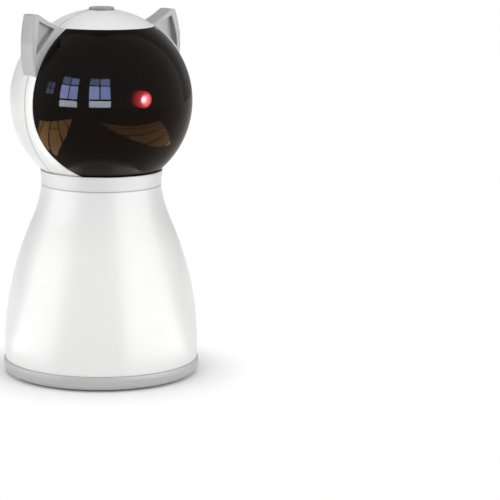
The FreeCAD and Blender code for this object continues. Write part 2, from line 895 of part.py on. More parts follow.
def main_board():
    low = floor_top + board_lift
    board = block((-main_board_half_width, main_board_half_width), (board_front, board_back),
                  (low, low + main_board_height))
    holes = [round_bar(board_hole_radius, at(x, board_front - overcut, low + main_board_height
                                             - board_hole_drop), Y, board_thickness + 2 * overcut)
             for x in (-board_hole_x, board_hole_x)]
    return board.cut(Part.makeCompound(holes))


def control_chip():
    low = floor_top + control_chip_lift
    high = low + control_chip_size
    half = control_chip_size / 2
    face = board_front - control_chip_thickness
    body = block((-half, half), (face, board_front), (low, high))
    dot_place = at(-half + chip_dot_set_in, face - overcut, high - chip_dot_set_in)
    return body.cut(round_bar(chip_dot_radius, dot_place, Y, overcut + chip_dot_depth))


def driver_chips():
    low = floor_top + driver_chip_lift
    half = driver_chip_width / 2
    return Part.makeCompound([block((x - half, x + half), (board_front - driver_chip_thickness, board_front),
                                    (low, low + driver_chip_height))
                              for x in (-driver_chip_x, driver_chip_x)])


def board_plugs():
    low = floor_top + plug_lift
    half = plug_width / 2
    inner_half = half - plug_wall_side
    plugs = []
    for x in (-plug_spacing, 0.0, plug_spacing):
        housing = block((x - half, x + half), (board_back, board_back + plug_depth), (low, low + plug_height))
        well = block((x - inner_half, x + inner_half),
                     (board_back + plug_wall_front, board_back + plug_depth - plug_wall_front),
                     (low + plug_floor, low + plug_height + overcut))
        plugs.append(housing.cut(well))
    return Part.makeCompound(plugs)


def motion_sensor():
    # A capsule that lies along the board, with a pin at each end.
    low = floor_top + sensor_lift
    y = board_front - sensor_radius
    can = round_bar(sensor_radius, at(sensor_x, y, low), Z, sensor_length)
    return can.fuse(round_bar(sensor_pin_radius, at(sensor_x, y, low - sensor_pin_length), Z,
                              sensor_length + 2 * sensor_pin_length))


def storage_capacitor():
    low = floor_top + sensor_lift
    y = board_front - capacitor_radius
    can = round_bar(capacitor_radius, at(capacitor_x, y, low), Z, capacitor_length)
    return can.cut(tube(capacitor_radius + overcut, capacitor_radius - capacitor_neck_depth,
                        at(capacitor_x, y, low + capacitor_neck_lift), Z, capacitor_neck_width))


def charge_board():
    board = block((-charge_board_half_width, charge_board_half_width),
                  (charge_board_front, charge_board_rear), (charge_board_height, charge_board_top))
    holes = [clear_hole(tiny_screw, at(x, charge_boss_y, charge_board_height - overcut), Z,
                        board_thickness + 2 * overcut) for x in (-charge_boss_x, charge_boss_x)]
    return board.cut(Part.makeCompound(holes))


def usb_socket():
    rear = socket_mouth - socket_depth
    inside = socket_outline(-socket_wall, rear + socket_floor, socket_mouth + overcut)
    return socket_outline(0, rear, socket_mouth).cut(inside)


def usb_tongue():
    rear = socket_mouth - socket_depth + socket_floor
    middle = charge_board_top + socket_height / 2
    half = tongue_board_width / 2
    built = []
    for thickness, end in ((tongue_board_thickness, socket_mouth - tongue_board_set_back),
                           (tongue_root_thickness, rear + tongue_root_length)):
        built.append(block((-half, half), (rear, end), (middle - thickness / 2, middle + thickness / 2)))
    return joined(built)


def charge_lamp():
    # A clear pipe from the lamp chip on the board to just under the outer skin.
    face = math.sqrt(body_base_radius**2 - lamp_x**2) - lamp_recess
    chip_rear = charge_board_rear - lamp_chip_gap
    half = lamp_chip_width / 2
    pipe = round_bar(lamp_radius, at(lamp_x, chip_rear, lamp_height), Y, face - chip_rear)
    chip = block((lamp_x - half, lamp_x + half), (chip_rear - lamp_chip_length, chip_rear),
                 (charge_board_top, lamp_height + lamp_radius))
    return joined([pipe, chip])


def charge_board_screws():
    return Part.makeCompound([screw(tiny_screw, at(x, charge_boss_y, charge_board_height), Z,
                                    charge_screw_length) for x in (-charge_boss_x, charge_boss_x)])


# Head, modelled about the sphere's centre and lifted into place at the end

def ball(radius):
    return Part.makeSphere(radius, ORIGIN)


def visor_region(inset):
    """All space in front of the visor's edge, drawn in by an inset."""
    edge = visor_edge_forward + inset
    sweep = visor_sweep_radius - inset
    centre = visor_edge_forward + visor_sweep_radius
    reach = head_radius + beyond_head
    low = -mouth_drop - overcut

    def swept(z):
        return centre - math.sqrt(sweep**2 - (z + visor_sweep_drop) ** 2)

    half_way = (low - visor_sweep_drop) / 2
    return side_prism((edge, visor_top - inset), [
        (reach, visor_top - inset), (reach, low), (swept(low), low),
        ((swept(half_way), half_way), (edge, -visor_sweep_drop))], -reach, reach)


def front_half(start):
    reach = head_radius + beyond_head
    return block((-reach, reach), (-reach, -start), (-mouth_drop, reach))


def over_head(degrees, rise):
    # A point of the front view, in x and z.
    corner = on_circle(head_radius + rise, degrees)
    return (corner.x, corner.y)


def ear_spigot(side, growth):
    # A flat tongue under the ear that goes through the seam of the two shells.
    angle = (ear_inner_degrees + ear_foot_degrees) / 2
    depth = head_wall + ear_spigot_depth
    half = ear_spigot_width / 2 + growth
    tongue = block((head_radius - depth, head_radius + ear_spigot_rise), (-half, half),
                   (-ear_spigot_thickness / 2 - growth, ear_spigot_thickness / 2 + growth))
    tongue.rotate(ORIGIN, Y, -angle)
    if side < 0:
        tongue = tongue.mirror(ORIGIN, X)
    return tongue


def boss_to_shell(radius, x, y, z, direction):
    reach = round_bar(radius, at(x, y, z), direction, head_radius)
    return reach.common(ball(head_radius - head_wall / 2))


def flange_hole():
    return round_bar(post_flange_radius + flange_room, at(0, 0, -head_radius), Z,
                     head_radius + flange_top + flange_room)


def button_hole():
    return round_bar(button_radius + button_gap, ORIGIN, Z, head_radius + overcut)


def head_rear_shell():
    reach = head_radius + beyond_head
    rear = block((-reach, reach), (0, reach), (-mouth_drop, reach))
    shell = ball(head_radius).cut(ball(inner_radius)).common(rear)
    lip = block((-reach, reach), (-tongue_length, overcut), (-mouth_drop, reach))
    tongue = ball(inner_radius + tongue_thickness).cut(ball(inner_radius)).common(lip)
    bosses = []
    cuts = [button_hole(), flange_hole(), ear_spigot(-1, fit_gap), ear_spigot(1, fit_gap)]
    for side in (-1, 1):
        bosses.append(boss_to_shell(head_boss_radius, side * rear_boss_x, rear_boss_y, chassis_bottom, -Z))
        cuts.append(pilot_hole(small_screw, at(side * rear_boss_x, rear_boss_y, chassis_bottom), -Z,
                               chassis_pilot_depth))
        bosses.append(boss_to_shell(button_boss_radius, side * button_boss_x, button_boss_y,
                                    button_board_top, Z))
        cuts.append(pilot_hole(tiny_screw, at(side * button_boss_x, button_boss_y, button_board_top), Z,
                               pilot_depth(button_board_screw_length, button_board_thickness)))
    ribs = []
    for angle in shell_rib_angles:
        rib = ball(inner_radius + merge_depth).cut(ball(inner_radius - shell_rib_height))
        blade = block((0, reach), (-shell_rib_thickness / 2, shell_rib_thickness / 2),
                      (shell_rib_low, shell_rib_high))
        blade.rotate(ORIGIN, Z, angle)
        ribs.append(rib.common(blade))
    shell = joined([shell, tongue] + bosses + ribs)
    return shell.cut(Part.makeCompound(cuts))


def head_front_frame():
    thick = ball(head_radius).cut(ball(inner_radius - ledge_thickness)).common(front_half(seam_gap))
    pocket = visor_region(0).cut(ball(inner_radius - fit_gap))
    window = visor_region(visor_ledge)
    relief = ball(inner_radius).cut(visor_region(-ledge_lead))
    frame = thick.cut(pocket).cut(window).cut(relief)
    rebate = block((-head_radius, head_radius), (-tongue_length - tongue_room, 0),
                   (-head_radius, head_radius))
    frame = frame.cut(ball(inner_radius + tongue_thickness + fit_gap).common(rebate))
    bosses = []
    cuts = [button_hole(), flange_hole(), ear_spigot(-1, fit_gap), ear_spigot(1, fit_gap)]
    for side in (-1, 1):
        boss = boss_to_shell(head_boss_radius, side * front_boss_x, front_boss_y, chassis_bottom, -Z)
        bosses.append(boss)
        cuts.append(pilot_hole(small_screw, at(side * front_boss_x, front_boss_y, chassis_bottom), -Z,
                               chassis_pilot_depth))
    frame = joined([frame] + bosses)
    return frame.cut(Part.makeCompound(cuts))


def visor():
    shell = ball(head_radius).cut(ball(inner_radius))
    return shell.common(visor_region(fit_gap)).common(front_half(0))


def ear(side):
    tip = over_head(ear_tip_degrees, ear_tip_rise)
    inner_tip = (tip[0] - ear_tip_width / 2, tip[1])
    outer_tip = (tip[0] + ear_tip_width / 2, tip[1])
    foot = over_head(ear_foot_degrees, ear_foot_rise)
    inner = over_head(ear_inner_degrees, ear_inner_rise)
    slope_middle = ((inner_tip[0] + inner[0]) / 2 + ear_slope_sag,
                    (inner_tip[1] + inner[1]) / 2 - ear_slope_sag)
    core = (inner[0] * ear_core_share, foot[1] * ear_core_share)
    horn = front_prism(outer_tip, [(over_head(ear_bulge_degrees, ear_bulge_rise), foot), core, inner,
                                   (slope_middle, inner_tip)], -visor_edge_forward, ear_back)
    lean = side_prism((visor_edge_forward, foot[1]), [
        (visor_edge_forward, tip[1] - ear_lean_height), (visor_edge_forward - ear_tip_lean, tip[1] + overcut),
        (head_radius, tip[1] + overcut), (head_radius, foot[1])], 0, head_radius + beyond_head)
    horn = horn.cut(lean)
    free_edges = [edge for edge in horn.Edges
                  if math.hypot(edge.CenterOfMass.x, edge.CenterOfMass.z) > head_radius + ear_round]
    horn = horn.makeFillet(ear_round, free_edges)
    horn = horn.cut(ball(head_radius + running_gap))
    horn = horn.cut(ear_recess(tip, foot, inner))
    horn = joined([horn, ear_spigot(1, 0)])
    if side < 0:
        horn = horn.mirror(ORIGIN, X)
    return horn


def ear_recess(tip, foot, inner):
    # A three-cornered hollow in the ear's face.
    top = (tip[0] - recess_tip_set_in, tip[1] - recess_tip_drop)
    low = (foot[0] - recess_foot_set_in, foot[1] + recess_foot_lift)
    near = (inner[0] + recess_inner_set_in, inner[1])
    side_bulge = ((top[0] + low[0]) / 2 + recess_side_bulge, (top[1] + low[1]) / 2)
    return front_prism(top, [(side_bulge, low), near], -visor_edge_forward - overcut,
                       -visor_edge_forward + recess_depth)


def ear_left():
    return ear(1)


def ear_right():
    return ear(-1)


def head_chassis():
    plate = round_bar(chassis_radius, at(0, 0, chassis_bottom), Z, chassis_thickness)
    low = chassis_bottom - overcut
    high = chassis_top + overcut
    reach = chassis_radius + overcut
    plate = plate.cut(block((-reach, reach), (-reach, -chassis_front), (low, high)))
    nose = round_bar(chassis_nose_radius, at(0, 0, chassis_bottom), Z, chassis_thickness)
    boss = round_bar(pan_axle_radius + axle_boss_wall, at(0, 0, chassis_bottom - pan_axle_depth), Z,
                     pan_axle_depth + merge_depth)
    legs = []
    cuts = []
    for angle in leg_angles:
        foot = on_circle(leg_circle, angle, flange_top)
        legs.append(round_bar(leg_radius, foot, Z, chassis_bottom - flange_top + merge_depth))
        cuts.append(pilot_hole(small_screw, foot, Z, pilot_depth(post_screw_length, post_flange_thickness)))
    chassis = joined([plate, nose, boss] + legs)
    for x, y in chassis_screw_places():
        cuts.append(clear_hole(small_screw, at(x, y, low), Z, high - low))
    cuts.append(round_bar(pan_axle_radius, at(0, 0, low - pan_axle_depth), Z, high - low + pan_axle_depth))
    cuts.append(round_bar(gear_module * pan_pinion_teeth / 2 + pinion_addendum + pinion_room,
                          at(0, pan_centre_distance, low), Z, high - low))
    for side in (-1, 1):
        cuts.append(pilot_hole(tiny_screw, at(side * motor_ear_circle, pan_centre_distance, low), Z,
                               high - low))
        wire_middle = 90 + side * (90 + wire_slot_rear_degrees)
        cuts.append(arc_slot(wire_slot_circle, wire_slot_width / 2, wire_middle - wire_slot_degrees / 2,
                             wire_middle + wire_slot_degrees / 2, low, high))
    stop_room = pan_stop_radius + stop_slot_gap
    stop_half = pan_range_degrees + math.degrees(stop_room / pan_stop_circle) + stop_slot_degrees
    cuts.append(arc_slot(pan_stop_circle, stop_room, 90 - stop_half, 90 + stop_half, low, high))
    return chassis.cut(Part.makeCompound(cuts))


def chassis_screw_places():
    return [(-rear_boss_x, rear_boss_y), (rear_boss_x, rear_boss_y),
            (-front_boss_x, front_boss_y), (front_boss_x, front_boss_y)]


def chassis_screws():
    return Part.makeCompound([screw(small_screw, at(x, y, chassis_top), -Z, chassis_screw_length)
                              for x, y in chassis_screw_places()])


def swivel_post():
    tube_bottom = flange_bottom - post_length
    groove_top = clip_top - head_height + groove_gap
    groove_bottom = groove_top - clip_thickness - 2 * groove_gap
    neck = post_radius - clip_groove_depth
    post = turned((post_bore_radius, tube_bottom), (post_radius - post_chamfer, tube_bottom),
                  (post_radius, tube_bottom + post_chamfer), (post_radius, groove_bottom),
                  (neck, groove_bottom), (neck, groove_top), (post_radius, groove_top),
                  (post_radius, flange_bottom), (post_flange_radius, flange_bottom),
                  (post_flange_radius, flange_top), (post_bore_radius, flange_top))
    pin_bottom = deck_top - stop_pin_reach - head_height
    pin = round_bar(stop_pin_radius, at(0, stop_pin_circle, pin_bottom), Z,
                    flange_bottom + merge_depth - pin_bottom)
    holes = [countersink(on_circle(leg_circle, angle, flange_bottom)) for angle in leg_angles]
    return joined([post, pin]).cut(Part.makeCompound(holes))


def countersink(foot):
    shank, head, _ = small_screw
    shank = shank + fit_gap
    head = head + fit_gap
    cone = Part.makeCone(head, shank, head - shank, foot + Z * flush_depth, Z)
    mouth = round_bar(head, foot - Z * flush_depth, Z, 2 * flush_depth)
    return cone.fuse(mouth).fuse(round_bar(shank, foot, Z, post_flange_thickness))


def post_screws():
    shank, head, _ = small_screw
    screws = []
    for angle in leg_angles:
        foot = on_circle(leg_circle, angle, flange_bottom + flush_depth)
        cone = Part.makeCone(head, shank, head - shank, foot, Z)
        screws.append(cone.fuse(round_bar(shank, foot + Z * merge_depth, Z, post_screw_length - merge_depth)))
    return Part.makeCompound(screws)


def swivel_clip():
    top = clip_top - head_height
    low = top - clip_thickness
    ring = tube(clip_outer_radius, post_radius - clip_groove_depth + groove_gap, at(0, 0, low), Z,
                clip_thickness)
    return ring.cut(block((-clip_slot_width / 2, clip_slot_width / 2), (0, clip_outer_radius),
                          (low - overcut, top + overcut)))


def motor_can():
    # The can hangs below z = 0 along -Z, with its screw ears at +X and -X.
    can = round_bar(motor_radius, at(0, 0, -motor_length), Z, motor_length)
    rear_edges = [edge for edge in can.Edges
                  if edge.CenterOfMass.isEqual(at(0, 0, -motor_length), short_edge)]
    can = can.makeFillet(motor_edge_round, rear_edges)
    ears = [round_bar(motor_ear_radius, at(side * motor_ear_circle, 0, -motor_ear_thickness), Z,
                      motor_ear_thickness) for side in (-1, 1)]
    bridge = block((-motor_ear_circle, motor_ear_circle), (-motor_ear_radius, motor_ear_radius),
                   (-motor_ear_thickness, 0))
    nose = round_bar(motor_nose_radius, at(0, 0, -merge_depth), Z, motor_nose_length + merge_depth)
    motor = joined([can, bridge, nose] + ears)
    bore = round_bar(motor_shaft_radius + running_gap, at(0, 0, motor_end_wall - motor_length), Z,
                     motor_length + motor_nose_length)
    holes = [pilot_hole(tiny_screw, at(side * motor_ear_circle, 0, -motor_ear_thickness - overcut), Z,
                        motor_ear_thickness + 2 * overcut) for side in (-1, 1)]
    return motor.cut(Part.makeCompound([bore] + holes))


def pan_motor():
    motor = motor_can()
    motor.translate(at(0, pan_centre_distance, chassis_bottom))
    return motor


def pan_motor_screws():
    length = chassis_thickness + motor_ear_thickness + motor_screw_tip
    return Part.makeCompound([screw(tiny_screw, at(side * motor_ear_circle, pan_centre_distance, chassis_top),
                                    -Z, length) for side in (-1, 1)])


def pan_motor_shaft():
    low = chassis_bottom - motor_length + motor_end_wall + motor_shaft_end_gap
    high = pan_gear_bottom + pinion_lift + pinion_thickness + shaft_proud
    return round_bar(motor_shaft_radius, at(0, pan_centre_distance, low), Z, high - low)


def pan_pinion():
    pinion = gear_blank(pan_pinion_teeth, pinion_addendum, -90, pinion_thickness)
    pinion = pinion.cut(round_bar(motor_shaft_radius, ORIGIN, Z, pinion_thickness))
    pinion.translate(at(0, pan_centre_distance, pan_gear_bottom + pinion_lift))
    return pinion


def axle_clip():
    low = pan_hub_top + running_gap
    bore = pan_axle_radius - axle_groove_depth + groove_gap
    clip = tube(pan_axle_radius + axle_clip_width, bore, at(0, 0, low), Z, axle_clip_thickness)
    return clip.cut(block((-axle_slot_width / 2, axle_slot_width / 2), (0, pan_axle_radius + axle_clip_width),
                          (low - overcut, low + axle_clip_thickness + overcut)))


def pan_axle():
    low = chassis_bottom - pan_axle_depth
    groove_bottom = pan_hub_top + running_gap - groove_gap
    groove_top = groove_bottom + axle_clip_thickness + 2 * groove_gap
    top = groove_top + axle_end
    notch = pan_axle_radius - axle_groove_depth
    return turned((0, low), (pan_axle_radius, low), (pan_axle_radius, groove_bottom), (notch, groove_bottom),
                  (notch, groove_top), (pan_axle_radius, groove_top), (pan_axle_radius, top - axle_chamfer),
                  (pan_axle_radius - axle_chamfer, top), (0, top))


def pan_gear():
    gear = gear_blank(pan_gear_teeth, gear_addendum, 90 + 180.0 / pan_gear_teeth, pan_gear_thickness)
    gear.translate(at(0, 0, pan_gear_bottom))
    hub = round_bar(pan_hub_radius, at(0, 0, pan_gear_bottom), Z, pan_hub_top - pan_gear_bottom)
    stop_bottom = chassis_bottom + pan_stop_lift
    stop = round_bar(pan_stop_radius, at(0, pan_stop_circle, stop_bottom), Z,
                     pan_gear_bottom + merge_depth - stop_bottom)
    gear = joined([gear, hub, stop])
    low = pan_gear_bottom - overcut
    height = pan_hub_top - pan_gear_bottom + 2 * overcut
    cuts = [round_bar(pan_axle_radius + running_gap, at(0, 0, low), Z, height)]
    for x, y in yoke_screw_places():
        cuts.append(pilot_hole(tiny_screw, at(x, y, pan_gear_top), -Z,
                               pilot_depth(yoke_screw_length, yoke_base_thickness)))
    for angle in pan_window_angles:
        cuts.append(round_bar(pan_window_radius, on_circle(pan_stop_circle, angle, low), Z, height))
    return gear.cut(Part.makeCompound(cuts))


def yoke_screw_places():
    return [(x, y) for x in (-yoke_screw_x, yoke_screw_x) for y in (-yoke_screw_y, yoke_screw_y)]


def yoke_arm(side):
    low, high = sorted((side * yoke_arm_inner, side * yoke_arm_outer))
    foot = pan_gear_top
    web = side_prism((yoke_web_set_in - yoke_base_rear, foot), [
        (yoke_base_front, foot), (tilt_axis_forward + tilt_boss_radius - fit_gap, tilt_axis_up),
        (tilt_axis_forward - tilt_boss_radius + yoke_web_slack, tilt_axis_up + yoke_web_rise)], low, high)
    arm = [web, side_disc(tilt_axis_forward, tilt_axis_up, tilt_boss_radius, low, high)]
    if side < 0:
        arm.append(side_disc(tilt_motor_forward, tilt_axis_up, motor_radius, low, high))
        pad = motor_ear_radius + fit_gap
        for forward, z in tilt_motor_ears():
            arm.append(side_disc(forward, z, pad, low, high))
        strap = block((-motor_ear_circle, motor_ear_circle), (-pad, pad), (0, yoke_arm_thickness))
        arm.append(to_tilt_motor(strap))
    return joined(arm)


def tilt_motor_ears():
    reach = motor_ear_circle * math.sqrt(0.5)
    return [(tilt_motor_forward + reach, tilt_axis_up + reach),
            (tilt_motor_forward - reach, tilt_axis_up - reach)]


def laser_yoke():
    foot = pan_gear_top
    base = block((-yoke_arm_outer, yoke_arm_outer), (-yoke_base_front, yoke_base_rear),
                 (foot, foot + yoke_base_thickness))
    base = base.common(round_bar(gear_module * pan_gear_teeth / 2 - yoke_rim_gap, at(0, 0, foot), Z,
                                 yoke_base_thickness))
    yoke = joined([base, yoke_arm(-1), yoke_arm(1)])
    low = foot - overcut
    height = yoke_base_thickness + 2 * overcut
    left_end = -yoke_arm_outer - overcut
    cuts = [round_bar(pan_hub_radius + fit_gap, at(0, 0, low), Z, height)]
    for x, y in yoke_screw_places():
        cuts.append(clear_hole(tiny_screw, at(x, y, low), Z, height))
    cuts.append(side_disc(tilt_axis_forward, tilt_axis_up, tilt_pin_radius + running_gap, left_end,
                          yoke_arm_outer + overcut))
    cuts.append(side_disc(tilt_motor_forward, tilt_axis_up, motor_nose_radius + motor_nose_gap, left_end,
                          overcut - yoke_arm_inner))
    for forward, z in tilt_motor_ears():
        cuts.append(side_disc(forward, z, tiny_screw[0] + fit_gap, left_end, overcut - yoke_arm_inner))
    return yoke.cut(Part.makeCompound(cuts))


def yoke_screws():
    seat = pan_gear_top + yoke_base_thickness
    return Part.makeCompound([screw(tiny_screw, at(x, y, seat), -Z, yoke_screw_length)
                              for x, y in yoke_screw_places()])


def to_tilt_motor(shape):
    # Turns a motor drawn along -Z so that it stands on the yoke's right arm and faces +X.
    shape.rotate(ORIGIN, Z, 45)
    shape.rotate(ORIGIN, Y, 90)
    shape.translate(at(-yoke_arm_outer, -tilt_motor_forward, tilt_axis_up))
    return shape


def tilt_motor():
    return to_tilt_motor(motor_can())


def tilt_motor_screws():
    seat_x = -yoke_arm_outer - motor_ear_thickness
    length = motor_ear_thickness + yoke_arm_thickness - screw_clearance
    return Part.makeCompound([screw(tiny_screw, at(seat_x, -forward, z), X, length)
                              for forward, z in tilt_motor_ears()])


def tilt_motor_shaft():
    low = -yoke_arm_outer - motor_length + motor_end_wall + motor_shaft_end_gap
    return side_disc(tilt_motor_forward, tilt_axis_up, motor_shaft_radius, low,
                     sector_x + sector_thickness + tilt_shaft_proud)


def tilt_pinion():
    # Its tooth at 180 degrees points at the sector; the outline is turned from the XY plane to the YZ plane.
    pinion = gear_blank(tilt_pinion_teeth, pinion_addendum, 180, pinion_thickness)
    pinion = pinion.cut(round_bar(motor_shaft_radius, ORIGIN, Z, pinion_thickness))
    lay_in_side_plane(pinion)
    pinion.translate(at(sector_x - tilt_pinion_lead, -tilt_motor_forward, tilt_axis_up))
    return pinion


def lay_in_side_plane(shape):
    # x, y, z of the drawing become y, z, x of the toy.
    shape.rotate(ORIGIN, at(1, 1, 1), 120)


def laser_cradle():
    middle = tilt_axis_up
    sleeve = round_bar(cradle_radius, at(0, -cradle_front, middle), Y, cradle_front - cradle_rear)
    cheeks = side_disc(tilt_axis_forward, middle, tilt_boss_radius - cheek_set_in, -cradle_cheek,
                       cradle_cheek)
    sector = gear_blank(tilt_gear_teeth, gear_addendum, 180.0 / tilt_gear_teeth, sector_thickness)
    first = -tilt_down_degrees - sector_margin_degrees
    last = tilt_up_degrees + sector_margin_degrees
    reach = gear_module * tilt_gear_teeth
    wedge = Part.Face(Part.Wire(Part.makePolygon([
        ORIGIN, on_circle(reach, first), on_circle(reach, (first + last) / 2), on_circle(reach, last),
        ORIGIN])))
    sector = sector.common(wedge.extrude(at(0, 0, sector_thickness)))
    lay_in_side_plane(sector)
    sector.translate(at(sector_x, -tilt_axis_forward, middle))
    cradle = joined([sleeve, cheeks, sector])
    cuts = [round_bar(barrel_radius + running_gap, at(0, -cradle_front - overcut, middle), Y,
                      cradle_front + cradle_radius)]
    cuts.append(side_disc(tilt_axis_forward, middle, tilt_pin_radius, -cradle_cheek - overcut,
                          cradle_cheek + overcut))
    cuts.append(pilot_hole(tiny_screw, at(0, -barrel_screw_forward, middle), Z, cradle_radius + overcut))
    for forward in grip_groove_places:
        cuts.append(tube(cradle_radius + overcut, cradle_radius - grip_groove_depth,
                         at(0, -forward, middle), Y, grip_groove_width))
    return cradle.cut(Part.makeCompound(cuts))


def tilt_pins():
    pins = []
    for side in (-1, 1):
        low, high = sorted((side * (barrel_radius + pin_clearance), side * (yoke_arm_outer + pin_proud)))
        pins.append(side_disc(tilt_axis_forward, tilt_axis_up, tilt_pin_radius, low, high))
    return Part.makeCompound(pins)


def forward_turned(start, *steps):
    # A solid turned about the laser's axis: steps hold radius and forward distance.
    shape = turned(start, *steps)
    shape.rotate(ORIGIN, X, 90)
    shape.translate(at(0, 0, tilt_axis_up))
    return shape


def laser_barrel():
    rear = barrel_nose_forward - barrel_length
    nose = barrel_nose_forward
    seat = nose - lens_recess - lens_ring_length - lens_thickness
    socket = rear + barrel_socket_depth
    bore = lens_radius + fit_gap
    return forward_turned((0, socket), (barrel_socket_radius, socket), (barrel_socket_radius, rear),
                          (barrel_radius, rear), (barrel_radius, nose - barrel_chamfer),
                          (barrel_radius - barrel_chamfer, nose), (bore, nose), (bore, seat),
                          (lens_bore_radius, seat), (lens_bore_radius, seat - lens_bore_depth),
                          (0, seat - lens_bore_depth))


def laser_lens():
    front = barrel_nose_forward - lens_recess - lens_ring_length
    back = front - lens_thickness
    dome = (lens_radius**2 + lens_sag**2) / (2 * lens_sag)
    half_angle = math.asin(lens_radius / dome) / 2
    crown = (dome * math.sin(half_angle), front - dome * (1 - math.cos(half_angle)))
    return forward_turned((0, back), (lens_radius, back), (lens_radius, front - lens_sag),
                          (crown, (0, front)))


def lens_ring():
    front = barrel_nose_forward - lens_recess
    back = front - lens_ring_length + groove_gap
    outer = lens_radius + lens_ring_grip
    return forward_turned((lens_ring_bore, back), (outer, back), (outer, front),
                          (lens_ring_bore + lens_ring_chamfer, front),
                          (lens_ring_bore, front - lens_ring_chamfer))


def laser_board():
    front = barrel_nose_forward - barrel_length + laser_board_overlap
    half = laser_board_thickness / 2
    board = block((-laser_board_width / 2, laser_board_width / 2), (-front, laser_board_length - front),
                  (tilt_axis_up - half, tilt_axis_up + half))
    return board.common(round_bar(barrel_radius - fit_gap, at(0, -front, tilt_axis_up), Y,
                                  laser_board_length))


def barrel_screw():
    foot = at(0, -barrel_screw_forward, tilt_axis_up + barrel_radius + groove_gap)
    return round_bar(tiny_screw[0], foot, Z, cradle_radius - barrel_radius)


def top_button():
    # A cap that narrows from its hidden flange, with a stem down to the switch.
    top = head_radius + button_height
    flange_low = button_flange_top - button_flange_thickness
    stem_low = switch_top + plunger_length - plunger_sink
    dish_radius = button_flange_radius - button_rim_width
    dish = flange_low + button_dish_depth
    return turned((0, stem_low), (button_stem_radius, stem_low), (button_stem_radius, dish),
                  (dish_radius, dish), (dish_radius, flange_low), (button_flange_radius, flange_low),
                  (button_flange_radius, button_flange_top), (button_radius, button_flange_top),
                  (button_radius, top - button_round),
                  corner_arc((button_radius, top - button_round), (button_radius, top),
                             (button_radius - button_round, top)), (0, top))


def switch_plunger():
    return round_bar(plunger_radius, at(0, 0, switch_top - plunger_sink), Z, plunger_length)


def button_switch():
    half = switch_size / 2
    body = block((-half, half), (-half, half), (button_board_top, switch_top))
    well_depth = plunger_sink + button_travel + plunger_room
    return body.cut(round_bar(plunger_radius + running_gap, at(0, 0, switch_top - well_depth), Z,
                              well_depth + overcut))


def button_board():
    low = button_board_top - button_board_thickness
    board = block((-button_board_width / 2, button_board_width / 2),
                  (-button_board_front, button_board_rear), (low, button_board_top))
    holes = [clear_hole(tiny_screw, at(side * button_boss_x, button_boss_y, low - overcut), Z,
                        button_board_thickness + 2 * overcut) for side in (-1, 1)]
    return board.cut(Part.makeCompound(holes))


def button_board_screws():
    seat = button_board_top - button_board_thickness
    return Part.makeCompound([screw(tiny_screw, at(side * button_boss_x, button_boss_y, seat), Z,
                                    button_board_screw_length) for side in (-1, 1)])


BASE_PIECES = (
    body_shell, base_cover, foot_ring, base_screws, neck_collar, collar_screws, swivel_washer,
    spring_washer, battery_cell, battery_holder, battery_contacts, holder_screws, main_board,
    control_chip, driver_chips, board_plugs, motion_sensor, storage_capacitor, charge_board,
    usb_socket, usb_tongue, charge_lamp, charge_board_screws)
HEAD_PIECES = (
    head_rear_shell, head_front_frame, visor, ear_left, ear_right, head_chassis, chassis_screws,
    swivel_post, post_screws, swivel_clip, pan_motor, pan_motor_screws, pan_motor_shaft, pan_pinion,
    pan_axle, axle_clip, pan_gear, laser_yoke, yoke_screws, tilt_motor, tilt_motor_screws,
    tilt_motor_shaft, tilt_pinion, laser_cradle, tilt_pins, laser_barrel, laser_lens, lens_ring,
    laser_board, barrel_screw, top_button, switch_plunger, button_switch, button_board,
    button_board_screws)


def write(name, shape):
    if not shape.isValid():
        print("not valid:", name)
    shape.exportStep("parts/" + name + ".step")


os.makedirs("parts", exist_ok=True)
for make in BASE_PIECES:
    write(make.__name__, make())
for make in HEAD_PIECES:
    piece = make()
    piece.translate(at(0, 0, head_height))
    write(make.__name__, piece)
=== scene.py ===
import math
import bmesh
import bpy
from mathutils import Matrix, Vector


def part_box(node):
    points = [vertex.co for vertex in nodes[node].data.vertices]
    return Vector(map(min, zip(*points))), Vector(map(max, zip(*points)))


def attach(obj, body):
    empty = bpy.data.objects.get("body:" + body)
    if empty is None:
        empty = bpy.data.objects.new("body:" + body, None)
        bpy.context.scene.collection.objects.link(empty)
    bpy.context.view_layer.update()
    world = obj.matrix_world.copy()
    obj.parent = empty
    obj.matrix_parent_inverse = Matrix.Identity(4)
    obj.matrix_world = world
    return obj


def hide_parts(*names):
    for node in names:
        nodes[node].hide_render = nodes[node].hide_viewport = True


# Automatic laser toy with a cat's head on a vase-shaped body. Sizes are in metres, in the toy's own
# frame: the face looks along -Y, the charging socket is at +Y and the floor is at z = 0.

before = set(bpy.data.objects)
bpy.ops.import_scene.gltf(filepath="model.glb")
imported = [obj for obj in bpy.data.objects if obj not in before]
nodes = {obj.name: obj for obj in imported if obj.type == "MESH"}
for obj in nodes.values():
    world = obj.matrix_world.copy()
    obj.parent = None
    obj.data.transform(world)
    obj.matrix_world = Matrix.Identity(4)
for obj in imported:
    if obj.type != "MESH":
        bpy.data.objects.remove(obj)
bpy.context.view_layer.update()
scene = bpy.context.scene
scene.view_settings.view_transform = "Standard"
mm = 0.001


# Camera. A long lens stands low, to the toy's right of the face, and looks a little down.
# The toy stands in the upper left of the picture, so the camera is turned away from it.
camera_distance = 0.8461
camera_height = 0.2104
camera_azimuth = math.radians(-34.8)
turn_past_toy = math.radians(-4.076)
look_down = math.radians(-10.7365)
camera_roll = math.radians(0.753)

